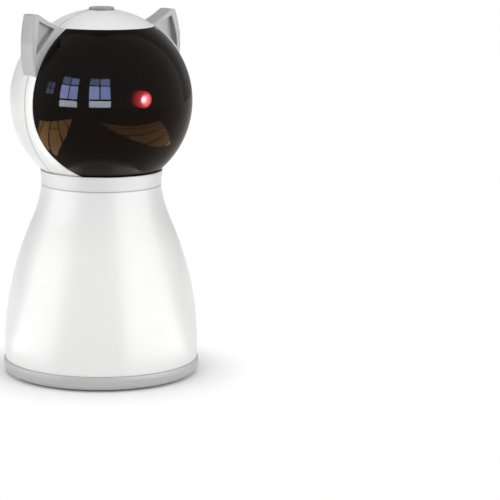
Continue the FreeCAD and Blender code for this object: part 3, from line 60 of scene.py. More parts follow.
camera_data = bpy.data.cameras.new("camera")
camera_data.sensor_width = 36.0
camera_data.lens = 152.7
camera = bpy.data.objects.new("camera", camera_data)
camera.matrix_world = (
    Matrix.Translation((camera_distance * math.sin(camera_azimuth),
                        -camera_distance * math.cos(camera_azimuth), camera_height))
    @ Matrix.Rotation(camera_azimuth + turn_past_toy, 4, "Z")
    @ Matrix.Rotation(math.pi / 2 + look_down, 4, "X")
    @ Matrix.Rotation(camera_roll, 4, "Z"))
scene.collection.objects.link(camera)
scene.camera = camera


# Studio. A pale floor and a white surround, with two upright softboxes and a wide one overhead. In
# the softboxes' stead gloss sees a grey wall and two bright strips, so that white plastic shows its
# edges and its shine. The surround lights the toy less than it shows.
ambient_strength = 0.34
floor_half = 5.0
shadow_start = 0.030
shadow_reach = 0.064
paper_white = (0.90, 0.90, 0.90, 1.0)
white = (1.0, 1.0, 1.0, 1.0)
wall_level = 0.58
dark_wall_level = 0.30
wall_foot = (1.3, 0.0)
wall_top = (0.0, 6.0)
strip_start = (0.07, 0.002)
strip_foot = (1.0, 0.002)


def add_node(tree, kind, inputs=None, **settings):
    """A node of the tree, with its settings, and its inputs linked or set."""
    node = tree.nodes.new(kind)
    for name, value in settings.items():
        setattr(node, name, value)
    for name, value in (inputs or {}).items():
        socket = node.inputs[name]
        if isinstance(value, bpy.types.NodeSocket):
            tree.links.new(value, socket)
        else:
            socket.default_value = value
    return node


def worked_out(tree, operation, *values):
    """The output of a Math node."""
    return add_node(tree, "ShaderNodeMath", dict(enumerate(values)), operation=operation).outputs[0]


def seen_as_white(tree):
    """1 for the camera's own rays and for reflected and refracted ones, 0 for soft light."""
    path = add_node(tree, "ShaderNodeLightPath")
    either = worked_out(tree, "MAXIMUM", path.outputs["Is Camera Ray"], path.outputs["Is Glossy Ray"])
    return worked_out(tree, "MAXIMUM", either, path.outputs["Is Transmission Ray"])


def new_material(name):
    material = bpy.data.materials.new(name)
    material.use_nodes = True
    material.node_tree.nodes.clear()
    return material


def object_place(tree):
    return add_node(tree, "ShaderNodeTexCoord").outputs["Object"]


world = bpy.data.worlds.new("surround")
world.use_nodes = True
world.node_tree.nodes.clear()
strength = add_node(world.node_tree, "ShaderNodeMapRange", {
    "Value": seen_as_white(world.node_tree), "To Min": ambient_strength, "To Max": 1.0})
surround = add_node(world.node_tree, "ShaderNodeBackground", {
    "Color": white, "Strength": strength.outputs[0]})
add_node(world.node_tree, "ShaderNodeOutputWorld", {"Surface": surround.outputs[0]})
scene.world = world

bpy.ops.mesh.primitive_plane_add(size=2 * floor_half)
floor = bpy.context.object
floor.name = "floor"
floor_material = new_material("studio_floor")
tree = floor_material.node_tree
paper = add_node(tree, "ShaderNodeBsdfPrincipled", {"Base Color": paper_white, "Roughness": 0.85,
                                                    "Specular IOR Level": 0.1})
glow = add_node(tree, "ShaderNodeEmission", {"Color": white, "Strength": 1.0})
reach = add_node(tree, "ShaderNodeVectorMath", {0: object_place(tree)}, operation="LENGTH")
far_away = add_node(tree, "ShaderNodeMapRange", {"Value": reach.outputs["Value"], "From Min": shadow_start,
                                                 "From Max": shadow_reach}, interpolation_type="SMOOTHSTEP")
share = worked_out(tree, "MULTIPLY", far_away.outputs[0], seen_as_white(tree))
mixed = add_node(tree, "ShaderNodeMixShader", {0: share, 1: paper.outputs[0], 2: glow.outputs[0]})
from_below = add_node(tree, "ShaderNodeNewGeometry").outputs["Backfacing"]
clear = add_node(tree, "ShaderNodeBsdfTransparent")
clear_below = add_node(tree, "ShaderNodeMixShader", {0: from_below, 1: mixed.outputs[0], 2: clear.outputs[0]})
add_node(tree, "ShaderNodeOutputMaterial", {"Surface": clear_below.outputs[0]})
floor.data.materials.append(floor_material)


def round_the_toy(degrees_right, distance, height):
    """A place round the toy, at an angle from the camera's own direction."""
    angle = camera_azimuth + math.radians(degrees_right)
    return Vector((distance * math.sin(angle), -distance * math.cos(angle), height))


def softbox(name, degrees_right, height, distance, width, length, radiance, aim_height):
    """An area lamp that is turned towards the toy."""
    lamp = bpy.data.lights.new(name, "AREA")
    lamp.shape = "RECTANGLE"
    lamp.size = width
    lamp.size_y = length
    lamp.energy = radiance * width * length * math.pi
    holder = bpy.data.objects.new(name, lamp)
    place = round_the_toy(degrees_right, distance, height)
    towards = Vector((0.0, 0.0, aim_height)) - place
    holder.matrix_world = Matrix.Translation(place) @ towards.to_track_quat("-Z", "Y").to_matrix().to_4x4()
    scene.collection.objects.link(holder)
    return holder


softboxes = [softbox("left_softbox", -62.0, 0.26, 1.0, 0.42, 0.80, 3.4, 0.07),
             softbox("right_softbox", 52.0, 0.26, 1.0, 0.42, 0.80, 3.2, 0.07),
             softbox("top_softbox", 0.0, 1.20, 0.22, 0.90, 0.90, 2.3, 0.05)]
for lamp in softboxes:
    lamp.visible_glossy = False


def reflection_card(name, corners, faces, color, level, pattern=None, see_through=True):
    """A glowing card that stands round the toy and that nothing but gloss sees."""
    mesh = bpy.data.meshes.new(name)
    mesh.from_pydata([tuple(corner) for corner in corners], [], faces)
    material = new_material(name)
    tree = material.node_tree
    shown = pattern(tree, color) if pattern else color
    surface = add_node(tree, "ShaderNodeEmission", {"Color": shown, "Strength": level}).outputs[0]
    if see_through:
        clear = add_node(tree, "ShaderNodeBsdfTransparent").outputs[0]
        surface = add_node(tree, "ShaderNodeAddShader", {0: surface, 1: clear}).outputs[0]
    add_node(tree, "ShaderNodeOutputMaterial", {"Surface": surface})
    mesh.materials.append(material)
    card = bpy.data.objects.new(name, mesh)
    scene.collection.objects.link(card)
    for ray in ("camera", "diffuse", "transmission", "volume_scatter", "shadow"):
        setattr(card, "visible_" + ray, False)
    return card


def arc_card(name, degrees, near, far, color, level, see_through=True):
    """A reflection card between two angles round the toy. Near and far are a distance and height."""
    steps = max(2, round((degrees[1] - degrees[0]) / 5.0))
    corners = [round_the_toy(degrees[0] + (degrees[1] - degrees[0]) * step / steps, *edge)
               for edge in (near, far) for step in range(steps + 1)]
    faces = [(step, step + 1, steps + step + 2, steps + step + 1) for step in range(steps)]
    return reflection_card(name, corners, faces, color, level, see_through=see_through)


arc_card("grey_wall", (-125.0, 125.0), wall_foot, wall_top, white, wall_level, see_through=False)
arc_card("dark_wall", (125.0, 235.0), wall_foot, wall_top, white, dark_wall_level, see_through=False)
shine_strips = []
for side, degrees, height, level in (("left", (-106.0, -50.0), 0.62, 3.6),
                                     ("right", (26.0, 96.0), 1.05, 3.8)):
    strip_top = (strip_foot[0], height)
    shine_strips.append(arc_card(side + "_shine", degrees, strip_foot, strip_top, white, level))
    shine_strips.append(arc_card(side + "_floor_shine", degrees, strip_start, strip_foot, white, level))


# Base cover. A moulded dish of satin grey ABS that closes the body from below. Its lip bulges a
# little under a dark seam, and it carries the ring foot, the battery and the control board.
cover_grey = (0.49, 0.49, 0.49, 1.0)
seam_height = 6.3 * mm
lip_top_radius = 39.3 * mm
moulded_edge = 0.20 * mm
skin_reach = 0.02 * mm


def new_group(name, inputs, outputs):
    """A shader group. Its inputs are given as kind and value, its outputs as kind."""
    group = bpy.data.node_groups.new(name, "ShaderNodeTree")
    for label, (kind, value) in inputs.items():
        socket = group.interface.new_socket(label, in_out="INPUT", socket_type="NodeSocket" + kind)
        socket.default_value = value
    for label, kind in outputs.items():
        group.interface.new_socket(label, in_out="OUTPUT", socket_type="NodeSocket" + kind)
    return group


def cloud(tree, place, scale, detail=2.0):
    """Noise from 0 to 1."""
    noise = add_node(tree, "ShaderNodeTexNoise", {"Vector": place, "Scale": scale, "Detail": detail})
    return noise.outputs["Fac"]


def around(tree, base, spread, value):
    """The base, plus or minus the spread as the value goes from 0 to 1."""
    return worked_out(tree, "MULTIPLY_ADD", worked_out(tree, "SUBTRACT", value, 0.5), spread, base)


def shaded(tree, color, amount):
    """The colour times an amount."""
    return add_node(tree, "ShaderNodeVectorMath", {0: color, "Scale": amount}, operation="SCALE").outputs[0]


def blended(tree, share, first, second):
    """The first colour at share 0, the second at share 1."""
    node = add_node(tree, "ShaderNodeMix", data_type="RGBA")
    for socket, value in ((node.inputs[0], share), (node.inputs[6], first), (node.inputs[7], second)):
        if isinstance(value, bpy.types.NodeSocket):
            tree.links.new(value, socket)
        else:
            socket.default_value = value
    return node.outputs[2]


# What a moulded skin shows: a faint mottle, a gloss that is a little uneven, and the tool's grain.
moulded_finish = new_group("moulded_finish", {
    "Color": ("Color", (0.8, 0.8, 0.8, 1.0)), "Roughness": ("Float", 0.3), "Mottle": ("Float", 0.03),
    "Unevenness": ("Float", 0.05), "Grain Scale": ("Float", 3000.0)},
    {"Color": "Color", "Roughness": "Float", "Height": "Float"})
given = add_node(moulded_finish, "NodeGroupInput").outputs
place = object_place(moulded_finish)
mottled = shaded(moulded_finish, given["Color"],
                 around(moulded_finish, 1.0, given["Mottle"], cloud(moulded_finish, place, 60.0, 3.0)))
gloss = around(moulded_finish, given["Roughness"], given["Unevenness"], cloud(moulded_finish, place, 170.0))
grain = cloud(moulded_finish, place, given["Grain Scale"], 1.0)
add_node(moulded_finish, "NodeGroupOutput", {"Color": mottled, "Roughness": gloss, "Height": grain})

# Where light hardly gets into the groove between two pieces: 1 in its middle, 0 beyond its width.
groove_shade = new_group("groove_shade", {"Distance": ("Float", 0.0), "Width": ("Float", 0.3 * mm)},
                         {"Mask": "Float"})
given = add_node(groove_shade, "NodeGroupInput").outputs
fading = add_node(groove_shade, "ShaderNodeMapRange", {
    "Value": worked_out(groove_shade, "ABSOLUTE", given["Distance"]),
    "From Min": worked_out(groove_shade, "MULTIPLY", given["Width"], 0.4), "From Max": given["Width"],
    "To Min": 1.0, "To Max": 0.0}, interpolation_type="SMOOTHSTEP")
add_node(groove_shade, "NodeGroupOutput", {"Mask": fading.outputs[0]})


def moulded_plastic(name, color, roughness, mottle, unevenness, grain_scale, grain_depth, grooves=None):
    """Plastic with a moulded finish and painted shade in its grooves. Grooves takes the tree and gives
    (distance, width, depth) sets.
    """
    material = new_material(name)
    tree = material.node_tree
    skin = add_node(tree, "ShaderNodeGroup", {"Color": color, "Roughness": roughness, "Mottle": mottle,
                                              "Unevenness": unevenness, "Grain Scale": grain_scale},
                    node_tree=moulded_finish).outputs
    shade = skin["Color"]
    for distance, width, depth in (grooves(tree) if grooves else ()):
        groove = add_node(tree, "ShaderNodeGroup", {"Distance": distance, "Width": width},
                          node_tree=groove_shade).outputs["Mask"]
        shade = shaded(tree, shade, worked_out(tree, "MULTIPLY_ADD", groove, -depth, 1.0))
    grain = add_node(tree, "ShaderNodeBump", {"Height": skin["Height"], "Distance": grain_depth,
                                              "Strength": 0.6})
    plastic = add_node(tree, "ShaderNodeBsdfPrincipled", {
        "Base Color": shade, "Roughness": skin["Roughness"], "Normal": grain.outputs[0]})
    add_node(tree, "ShaderNodeOutputMaterial", {"Surface": plastic.outputs[0]})
    return material


def level_distance(tree, axis, level):
    """How far a point is from a level along one axis."""
    return worked_out(tree, "SUBTRACT",
                      add_node(tree, "ShaderNodeSeparateXYZ", {0: object_place(tree)}).outputs[axis], level)


def refined(node, on_edge, edge_radius, skin=lambda point: None):
    """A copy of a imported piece, whose chosen outer edges are rounded. Skin gives the true normal of
    a point on its main outer face, or nothing for other points. Large flat faces are kept flat."""
    mesh = bmesh.new()
    mesh.from_mesh(nodes[node].data)
    bmesh.ops.remove_doubles(mesh, verts=mesh.verts, dist=0.002 * mm)
    bmesh.ops.dissolve_limit(mesh, angle_limit=math.radians(0.3), verts=mesh.verts, edges=mesh.edges)
    outer = [edge for edge in mesh.edges if all(on_edge(vertex.co) for vertex in edge.verts)
             and edge.calc_face_angle_signed() > math.radians(25.0)]
    bmesh.ops.bevel(mesh, geom=outer, offset=edge_radius, offset_type="OFFSET", segments=4, profile=0.5,
                    affect="EDGES", clamp_overlap=False)
    low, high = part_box(node)
    for vertex in mesh.verts:
        vertex.co = Vector(min(max(value, least), most) for value, least, most in zip(vertex.co, low, high))
    data = bpy.data.meshes.new(node + "_skin")
    mesh.to_mesh(data)
    mesh.free()
    data.shade_smooth()
    data.set_sharp_from_angle(angle=math.radians(30.0))
    normals = [corner.vector.copy() for corner in data.corner_normals]
    for face in data.polygons:
        for index in face.loop_indices:
            true = skin(data.vertices[data.loops[index].vertex_index].co)
            if true and true.angle(normals[index]) < math.radians(25.0):
                normals[index] = true
            elif face.loop_total > 8:
                normals[index] = face.normal.copy()
    data.normals_split_custom_set(normals)
    piece = bpy.data.objects.new(node + "_visual", data)
    scene.collection.objects.link(piece)
    return piece


def fitted(piece, body, replaced, material):
    """The piece in its material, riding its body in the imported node's stead."""
    piece.data.materials.clear()
    piece.data.materials.append(material)
    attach(piece, body)
    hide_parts(replaced)


def on_ring(radius, height):
    """Whether a point is on a ring round the toy's axis."""
    return lambda point: (abs(math.hypot(point.x, point.y) - radius) < skin_reach
                          and abs(point.z - height) < skin_reach)


def cover_grooves(tree):
    return [(level_distance(tree, "Z", seam_height), 0.35 * mm, 0.15)]


cover_plastic = moulded_plastic("base_cover_plastic", cover_grey, 0.42, 0.03, 0.06, 3500.0, 0.012 * mm,
                                cover_grooves)
base_cover = refined("base_cover", on_ring(lip_top_radius, seam_height), moulded_edge)
fitted(base_cover, "base", "base_cover", cover_plastic)


# Ring foot. A flat ring of soft dark silicone, pressed into the groove under the base cover, that
# keeps the toy from sliding. It picks up dust, so its face is dull and a little speckled.
def foot_rubber():
    material = new_material("foot_silicone")
    tree = material.node_tree
    skin = add_node(tree, "ShaderNodeGroup", {"Color": (0.22, 0.22, 0.22, 1.0), "Roughness": 0.72,
                                              "Mottle": 0.12, "Unevenness": 0.1, "Grain Scale": 1800.0},
                    node_tree=moulded_finish).outputs
    specks = add_node(tree, "ShaderNodeMapRange", {
        "Value": cloud(tree, object_place(tree), 2600.0), "From Min": 0.62, "From Max": 0.72})
    dusty = blended(tree, specks.outputs[0], skin["Color"], (0.34, 0.335, 0.33, 1.0))
    bump = add_node(tree, "ShaderNodeBump", {"Height": skin["Height"], "Distance": 0.03 * mm})
    rubber = add_node(tree, "ShaderNodeBsdfPrincipled", {
        "Base Color": dusty, "Roughness": skin["Roughness"], "Normal": bump.outputs[0],
        "Specular IOR Level": 0.35})
    add_node(tree, "ShaderNodeOutputMaterial", {"Surface": rubber.outputs[0]})
    return material


def finish_nodes(material, *names):
    """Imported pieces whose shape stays, in a material."""
    for name in names:
        nodes[name].data.materials.clear()
        nodes[name].data.materials.append(material)


finish_nodes(foot_rubber(), "foot_ring")


# Base screws. Four zinc-plated pan-head screws with a cross recess hold the base cover to the body's
# bosses. They sit deep in their wells, on a circle, so one screw is made and set out four times.
screw_zinc = (0.45, 0.45, 0.46, 1.0)
screw_circle = 29.5 * mm
screw_seat = 3.7 * mm
screw_head_radius = 2.4 * mm
screw_head_height = 1.8 * mm
screw_head_bevel = 0.5 * mm
screw_shank_radius = 1.25 * mm
screw_tip_height = 1.5 * mm
screw_length = 13.0 * mm
recess_width = 0.6 * mm
recess_reach = 2.7 * mm
recess_depth = 1.0 * mm

# What turned or rolled metal shows: fine lines round its axis, a mottle and an uneven gloss.
metal_finish = new_group("metal_finish", {
    "Color": ("Color", (0.6, 0.6, 0.6, 1.0)), "Roughness": ("Float", 0.3), "Mottle": ("Float", 0.1),
    "Unevenness": ("Float", 0.12), "Line Scale": ("Float", 9000.0)},
    {"Color": "Color", "Roughness": "Float", "Height": "Float"})
given = add_node(metal_finish, "NodeGroupInput").outputs
place = object_place(metal_finish)
stretched = add_node(metal_finish, "ShaderNodeVectorMath", {0: place, 1: (0.06, 0.06, 1.0)},
                     operation="MULTIPLY").outputs[0]
lines = cloud(metal_finish, stretched, given["Line Scale"], 2.0)
mottled = shaded(metal_finish, given["Color"],
                 around(metal_finish, 1.0, given["Mottle"], cloud(metal_finish, place, 420.0, 3.0)))
gloss = around(metal_finish, given["Roughness"], given["Unevenness"], cloud(metal_finish, place, 900.0))
add_node(metal_finish, "NodeGroupOutput", {"Color": mottled, "Roughness": gloss, "Height": lines})


def plain_metal(name, color, roughness, mottle, unevenness, line_scale, line_depth):
    material = new_material(name)
    tree = material.node_tree
    skin = add_node(tree, "ShaderNodeGroup", {"Color": color, "Roughness": roughness, "Mottle": mottle,
                                              "Unevenness": unevenness, "Line Scale": line_scale},
                    node_tree=metal_finish).outputs
    bump = add_node(tree, "ShaderNodeBump", {"Height": skin["Height"], "Distance": line_depth,
                                             "Strength": 0.5})
    metal = add_node(tree, "ShaderNodeBsdfPrincipled", {
        "Base Color": skin["Color"], "Roughness": skin["Roughness"], "Normal": bump.outputs[0],
        "Metallic": 1.0})
    add_node(tree, "ShaderNodeOutputMaterial", {"Surface": metal.outputs[0]})
    return material


zinc = plain_metal("zinc_plated_screws", screw_zinc, 0.34, 0.12, 0.14, 6000.0, 0.004 * mm)


def screw_set_tree():
    """A Geometry Nodes tree that sets out cross-head screws on a circle, heads down."""
    tree = bpy.data.node_groups.new("screw_set", "GeometryNodeTree")
    for label, kind in (("Count", "Int"), ("Circle", "Float"), ("First Angle", "Float"), ("Seat", "Float"),
                        ("Head Radius", "Float"), ("Head Height", "Float"), ("Shank Radius", "Float"),
                        ("Length", "Float"), ("Recess Depth", "Float"), ("Finish", "Material")):
        tree.interface.new_socket(label, in_out="INPUT", socket_type="NodeSocket" + kind)
    tree.interface.new_socket("Geometry", in_out="OUTPUT", socket_type="NodeSocketGeometry")
    given = add_node(tree, "NodeGroupInput").outputs

    def moved(mesh, **move):
        return add_node(tree, "GeometryNodeTransform", {"Geometry": mesh, **move}).outputs[0]

    def upright(height):
        return add_node(tree, "ShaderNodeCombineXYZ", {"Z": height}).outputs[0]

    def united(*meshes):
        node = add_node(tree, "GeometryNodeMeshBoolean", operation="UNION", solver="EXACT")
        for mesh in meshes:
            tree.links.new(mesh, node.inputs["Mesh 2"])
        return node.outputs[0]

    crown_height = worked_out(tree, "SUBTRACT", given["Head Height"], screw_head_bevel)
    crown_radius = worked_out(tree, "SUBTRACT", given["Head Radius"], screw_head_bevel)
    plain = worked_out(tree, "SUBTRACT", given["Length"], screw_tip_height)
    pan = moved(add_node(tree, "GeometryNodeMeshCylinder", {
        "Vertices": 48, "Radius": given["Head Radius"], "Depth": crown_height}).outputs[0],
        Translation=upright(worked_out(tree, "MULTIPLY", crown_height, -0.5)))
    crown = moved(add_node(tree, "GeometryNodeMeshCone", {
        "Vertices": 48, "Radius Top": given["Head Radius"], "Radius Bottom": crown_radius,
        "Depth": screw_head_bevel}).outputs[0],
        Translation=upright(worked_out(tree, "MULTIPLY", given["Head Height"], -1.0)))
    shank = moved(add_node(tree, "GeometryNodeMeshCylinder", {
        "Vertices": 32, "Radius": given["Shank Radius"], "Depth": plain}).outputs[0],
        Translation=upright(worked_out(tree, "MULTIPLY", plain, 0.5)))
    tip = moved(add_node(tree, "GeometryNodeMeshCone", {
        "Vertices": 32, "Radius Top": 0.2 * mm, "Radius Bottom": given["Shank Radius"],
        "Depth": screw_tip_height}).outputs[0], Translation=upright(plain))
    blades = []
    for size in ((recess_width, recess_reach), (recess_reach, recess_width)):
        depth = worked_out(tree, "MULTIPLY", given["Recess Depth"], 2.0)
        box = add_node(tree, "ShaderNodeCombineXYZ", {"X": size[0], "Y": size[1], "Z": depth}).outputs[0]
        blades.append(moved(add_node(tree, "GeometryNodeMeshCube", {"Size": box}).outputs[0],
                            Translation=upright(worked_out(tree, "MULTIPLY", given["Head Height"], -1.0))))
    recessed = add_node(tree, "GeometryNodeMeshBoolean", {"Mesh 1": united(pan, crown, shank, tip)},
                        operation="DIFFERENCE", solver="EXACT")
    for blade in blades:
        tree.links.new(blade, recessed.inputs["Mesh 2"])
    circle = add_node(tree, "GeometryNodeMeshCircle", {"Vertices": given["Count"],
                                                       "Radius": given["Circle"]})
    turn = add_node(tree, "ShaderNodeCombineXYZ", {"Z": given["First Angle"]}).outputs[0]
    spots = moved(circle.outputs[0], Translation=upright(given["Seat"]), Rotation=turn)
    spread = add_node(tree, "FunctionNodeRandomValue", {2: 0.0, 3: 2 * math.pi, "Seed": 7},
                      data_type="FLOAT").outputs[1]
    slot_turn = add_node(tree, "ShaderNodeCombineXYZ", {"Z": spread}).outputs[0]
    screws = add_node(tree, "GeometryNodeInstanceOnPoints", {
        "Points": spots, "Instance": recessed.outputs[0], "Rotation": slot_turn})
    real = add_node(tree, "GeometryNodeRealizeInstances", {"Geometry": screws.outputs[0]})
    coated = add_node(tree, "GeometryNodeSetMaterial", {"Geometry": real.outputs[0],
                                                        "Material": given["Finish"]})
    add_node(tree, "NodeGroupOutput", {"Geometry": coated.outputs[0]})
    return tree


def set_out(name, tree, values):
    """The plain mesh that a Geometry Nodes tree makes from these values."""
    maker = bpy.data.objects.new(name, bpy.data.meshes.new(name))
    scene.collection.objects.link(maker)
    modifier = maker.modifiers.new("maker", "NODES")
    modifier.node_group = tree
    for item in tree.interface.items_tree:
        if item.in_out == "INPUT":
            modifier[item.identifier] = values[item.name]
    bpy.context.view_layer.update()
    made = bpy.data.meshes.new_from_object(maker.evaluated_get(bpy.context.evaluated_depsgraph_get()))
    maker.modifiers.clear()
    maker.data = made
    made.shade_smooth()
    made.set_sharp_from_angle(angle=math.radians(25.0))
    return maker


base_screws = set_out("base_screws_visual", screw_set_tree(), {
    "Count": 4, "Circle": screw_circle, "First Angle": math.radians(45.0), "Seat": screw_seat,
    "Head Radius": screw_head_radius, "Head Height": screw_head_height,
    "Shank Radius": screw_shank_radius, "Length": screw_length, "Recess Depth": recess_depth,
    "Finish": zinc})
fitted(base_screws, "base", "base_screws", zinc)


# Body shell. The white vase is one moulding of glossy ABS, open below. A ring inside its neck
# carries the collar, and a slot and a small hole at the rear let out the socket and the lamp.
shell_white = (0.86, 0.86, 0.855, 1.0)
foot_radius = 39.0 * mm
belly_height = 10.9 * mm
belly_arc_radius = 125.8628 * mm
neck_arc_radius = 51.8674 * mm
neck_arc_centre = Vector((75.5632 * mm, 83.0514 * mm))
arcs_meet = math.radians(23.9513)
collar_seam = 77.0 * mm
neck_radius = 24.05 * mm
belly_arc_centre = Vector((foot_radius - belly_arc_radius, belly_height))
waist_height = belly_height + belly_arc_radius * math.sin(arcs_meet)


def body_skin(point):
    """The true normal of a point on the vase's outer face."""
    out = Vector((point.x, point.y, 0.0))
    side = Vector((out.length, point.z))
    if side.y <= belly_height:
        away, slope = side.x - foot_radius, Vector((1.0, 0.0))
    elif side.y <= waist_height:
        slope = side - belly_arc_centre
        away = slope.length - belly_arc_radius
    else:
        slope = neck_arc_centre - side
        away = neck_arc_radius - slope.length
    if abs(away) > skin_reach:
        return None
    slope.normalize()
    return out.normalized() * slope.x + Vector((0.0, 0.0, slope.y))


def body_grooves(tree):
    return [(level_distance(tree, "Z", seam_height), 0.35 * mm, 0.15),
            (level_distance(tree, "Z", collar_seam), 0.32 * mm, 0.4)]


def body_edge(point):
    return on_ring(foot_radius, seam_height)(point) or on_ring(neck_radius, collar_seam)(point)


body_plastic = moulded_plastic("body_white_plastic", shell_white, 0.30, 0.012, 0.04, 2600.0, 0.004 * mm,
                               body_grooves)
body_shell = refined("body_shell", body_edge, moulded_edge, body_skin)
fitted(body_shell, "base", "body_shell", body_plastic)


# Charging socket and lamp. At the rear a pressed steel socket stands in its slot round a black
# tongue, and a frosted light pipe shows beside it that the battery is charging.
pressed_steel = plain_metal("pressed_nickel_steel", (0.60, 0.60, 0.61, 1.0), 0.26, 0.08, 0.1, 5000.0,
                            0.002 * mm)
black_moulding = moulded_plastic("black_moulding", (0.03, 0.03, 0.03, 1.0), 0.45, 0.15, 0.1, 3200.0,
                                 0.012 * mm)


def frosted_pipe():
    material = new_material("frosted_light_pipe")
    tree = material.node_tree
    skin = add_node(tree, "ShaderNodeGroup", {"Color": (0.80, 0.82, 0.82, 1.0), "Roughness": 0.5,
                                              "Mottle": 0.08, "Unevenness": 0.15, "Grain Scale": 9000.0},
                    node_tree=moulded_finish).outputs
    bump = add_node(tree, "ShaderNodeBump", {"Height": skin["Height"], "Distance": 0.01 * mm})
    pipe = add_node(tree, "ShaderNodeBsdfPrincipled", {
        "Base Color": skin["Color"], "Roughness": skin["Roughness"], "Normal": bump.outputs[0],
        "Transmission Weight": 0.4})
    add_node(tree, "ShaderNodeOutputMaterial", {"Surface": pipe.outputs[0]})
    return material


finish_nodes(pressed_steel, "usb_socket")
finish_nodes(black_moulding, "usb_tongue")
finish_nodes(frosted_pipe(), "charge_lamp")


# Inside the body. A rechargeable cell stands in a black holder between two sprung contacts, the
# control board stands in front of it, and the charging board lies behind the socket.
cell_blue = (0.05, 0.16, 0.45, 1.0)
end_band = 3.0 * mm
lacquer_green = (0.03, 0.16, 0.07, 1.0)
copper_green = (0.06, 0.26, 0.10, 1.0)
tin = (0.62, 0.62, 0.60, 1.0)


def cell_wrap():
    """Shrink film, drawn tight, with faint rings where it shrank and a darker band at each end."""
    material = new_material("battery_shrink_film")
    tree = material.node_tree
    skin = add_node(tree, "ShaderNodeGroup", {"Color": cell_blue, "Roughness": 0.24, "Mottle": 0.08,
                                              "Unevenness": 0.1, "Grain Scale": 700.0},
                    node_tree=moulded_finish).outputs
    low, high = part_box("battery_cell")
    ends = [add_node(tree, "ShaderNodeGroup", {"Distance": level_distance(tree, "Z", level),
                                               "Width": end_band}, node_tree=groove_shade).outputs["Mask"]
            for level in (low.z, high.z)]
    banded = shaded(tree, skin["Color"], worked_out(tree, "MULTIPLY_ADD",
                                                    worked_out(tree, "MAXIMUM", *ends), -0.4, 1.0))
    rings = add_node(tree, "ShaderNodeTexWave", {"Vector": object_place(tree), "Scale": 60.0,
                                                 "Distortion": 2.0}, bands_direction="Z").outputs["Fac"]
    height = worked_out(tree, "MULTIPLY_ADD", rings, 0.5, skin["Height"])
    bump = add_node(tree, "ShaderNodeBump", {"Height": height, "Distance": 0.02 * mm})
    film = add_node(tree, "ShaderNodeBsdfPrincipled", {
        "Base Color": banded, "Roughness": skin["Roughness"], "Normal": bump.outputs[0]})
    add_node(tree, "ShaderNodeOutputMaterial", {"Surface": film.outputs[0]})
    return material


def board_lacquer(name, flat_axis):
    """Green lacquer over copper tracks, with tinned pads. The board lies across the flat axis."""
    material = new_material(name)
    tree = material.node_tree
    sides = add_node(tree, "ShaderNodeSeparateXYZ", {0: object_place(tree)}).outputs
    kept = [axis for axis in "XYZ" if axis != flat_axis]
    flat = add_node(tree, "ShaderNodeCombineXYZ", {"X": sides[kept[0]], "Y": sides[kept[1]]}).outputs[0]
    tracks = add_node(tree, "ShaderNodeTexBrick", {
        "Vector": flat, "Scale": 330.0, "Mortar Size": 0.045, "Mortar Smooth": 0.2, "Brick Width": 1.7,
        "Row Height": 0.42}, offset=0.5).outputs["Fac"]
    gates = add_node(tree, "ShaderNodeMapRange", {"Value": cloud(tree, flat, 230.0), "From Min": 0.47,
                                                  "From Max": 0.50}).outputs[0]
    copper = worked_out(tree, "MULTIPLY", tracks, gates)
    cells = add_node(tree, "ShaderNodeTexVoronoi", {"Vector": flat, "Scale": 420.0, "Randomness": 0.6})
    pads = add_node(tree, "ShaderNodeMapRange", {"Value": cells.outputs["Distance"], "From Min": 0.20,
                                                 "From Max": 0.17}).outputs[0]
    skin = add_node(tree, "ShaderNodeGroup", {"Color": lacquer_green, "Roughness": 0.30, "Mottle": 0.1,
                                              "Unevenness": 0.1, "Grain Scale": 2500.0},
                    node_tree=moulded_finish).outputs
    tracked = blended(tree, copper, skin["Color"], copper_green)
    tinned = blended(tree, pads, tracked, tin)
    bump = add_node(tree, "ShaderNodeBump", {"Height": worked_out(tree, "MAXIMUM", copper, pads),
                                             "Distance": 0.03 * mm})
    board = add_node(tree, "ShaderNodeBsdfPrincipled", {
        "Base Color": tinned, "Roughness": skin["Roughness"], "Metallic": pads, "Normal": bump.outputs[0]})
    add_node(tree, "ShaderNodeOutputMaterial", {"Surface": board.outputs[0]})
    return material


level_board = board_lacquer("level_board_lacquer", "Z")
upright_board = board_lacquer("upright_board_lacquer", "Y")
sprung_steel = plain_metal("bright_spring_steel", (0.55, 0.55, 0.56, 1.0), 0.22, 0.08, 0.1, 8000.0,
                           0.002 * mm)
acetal = moulded_plastic("cream_acetal", (0.80, 0.77, 0.68, 1.0), 0.38, 0.03, 0.08, 2200.0, 0.008 * mm)
finish_nodes(cell_wrap(), "battery_cell")
finish_nodes(black_moulding, "battery_holder", "control_chip", "driver_chips")
finish_nodes(sprung_steel, "battery_contacts")
finish_nodes(upright_board, "main_board")
finish_nodes(level_board, "charge_board")
finish_nodes(acetal, "board_plugs")
finish_nodes(pressed_steel, "motion_sensor", "storage_capacitor")
finish_nodes(zinc, "holder_screws", "charge_board_screws", "collar_screws")


# Neck collar and swivel. A white ring sits on the body's neck, and its dished rim comes up round
# the head. Its deck holds an acetal washer, a black hollow post and the clip that keep the head on.
# The collar's white is set darker than the shell's white: painted shade for the neck, where less light falls.
collar_shaded_white = (0.75, 0.75, 0.747, 1.0)


def collar_edge(point):
    return on_ring(neck_radius, collar_seam)(point)


def collar_grooves(tree):
    return [(level_distance(tree, "Z", collar_seam), 0.32 * mm, 0.5)]


collar_plastic = moulded_plastic("collar_plastic_painted_shade", collar_shaded_white, 0.48, 0.012, 0.04, 2600.0,
                                 0.004 * mm, collar_grooves)
neck_collar = refined("neck_collar", collar_edge, moulded_edge)
fitted(neck_collar, "base", "neck_collar", collar_plastic)
finish_nodes(acetal, "swivel_washer")
finish_nodes(sprung_steel, "spring_washer", "swivel_clip")
finish_nodes(black_moulding, "swivel_post")
finish_nodes(zinc, "post_screws")


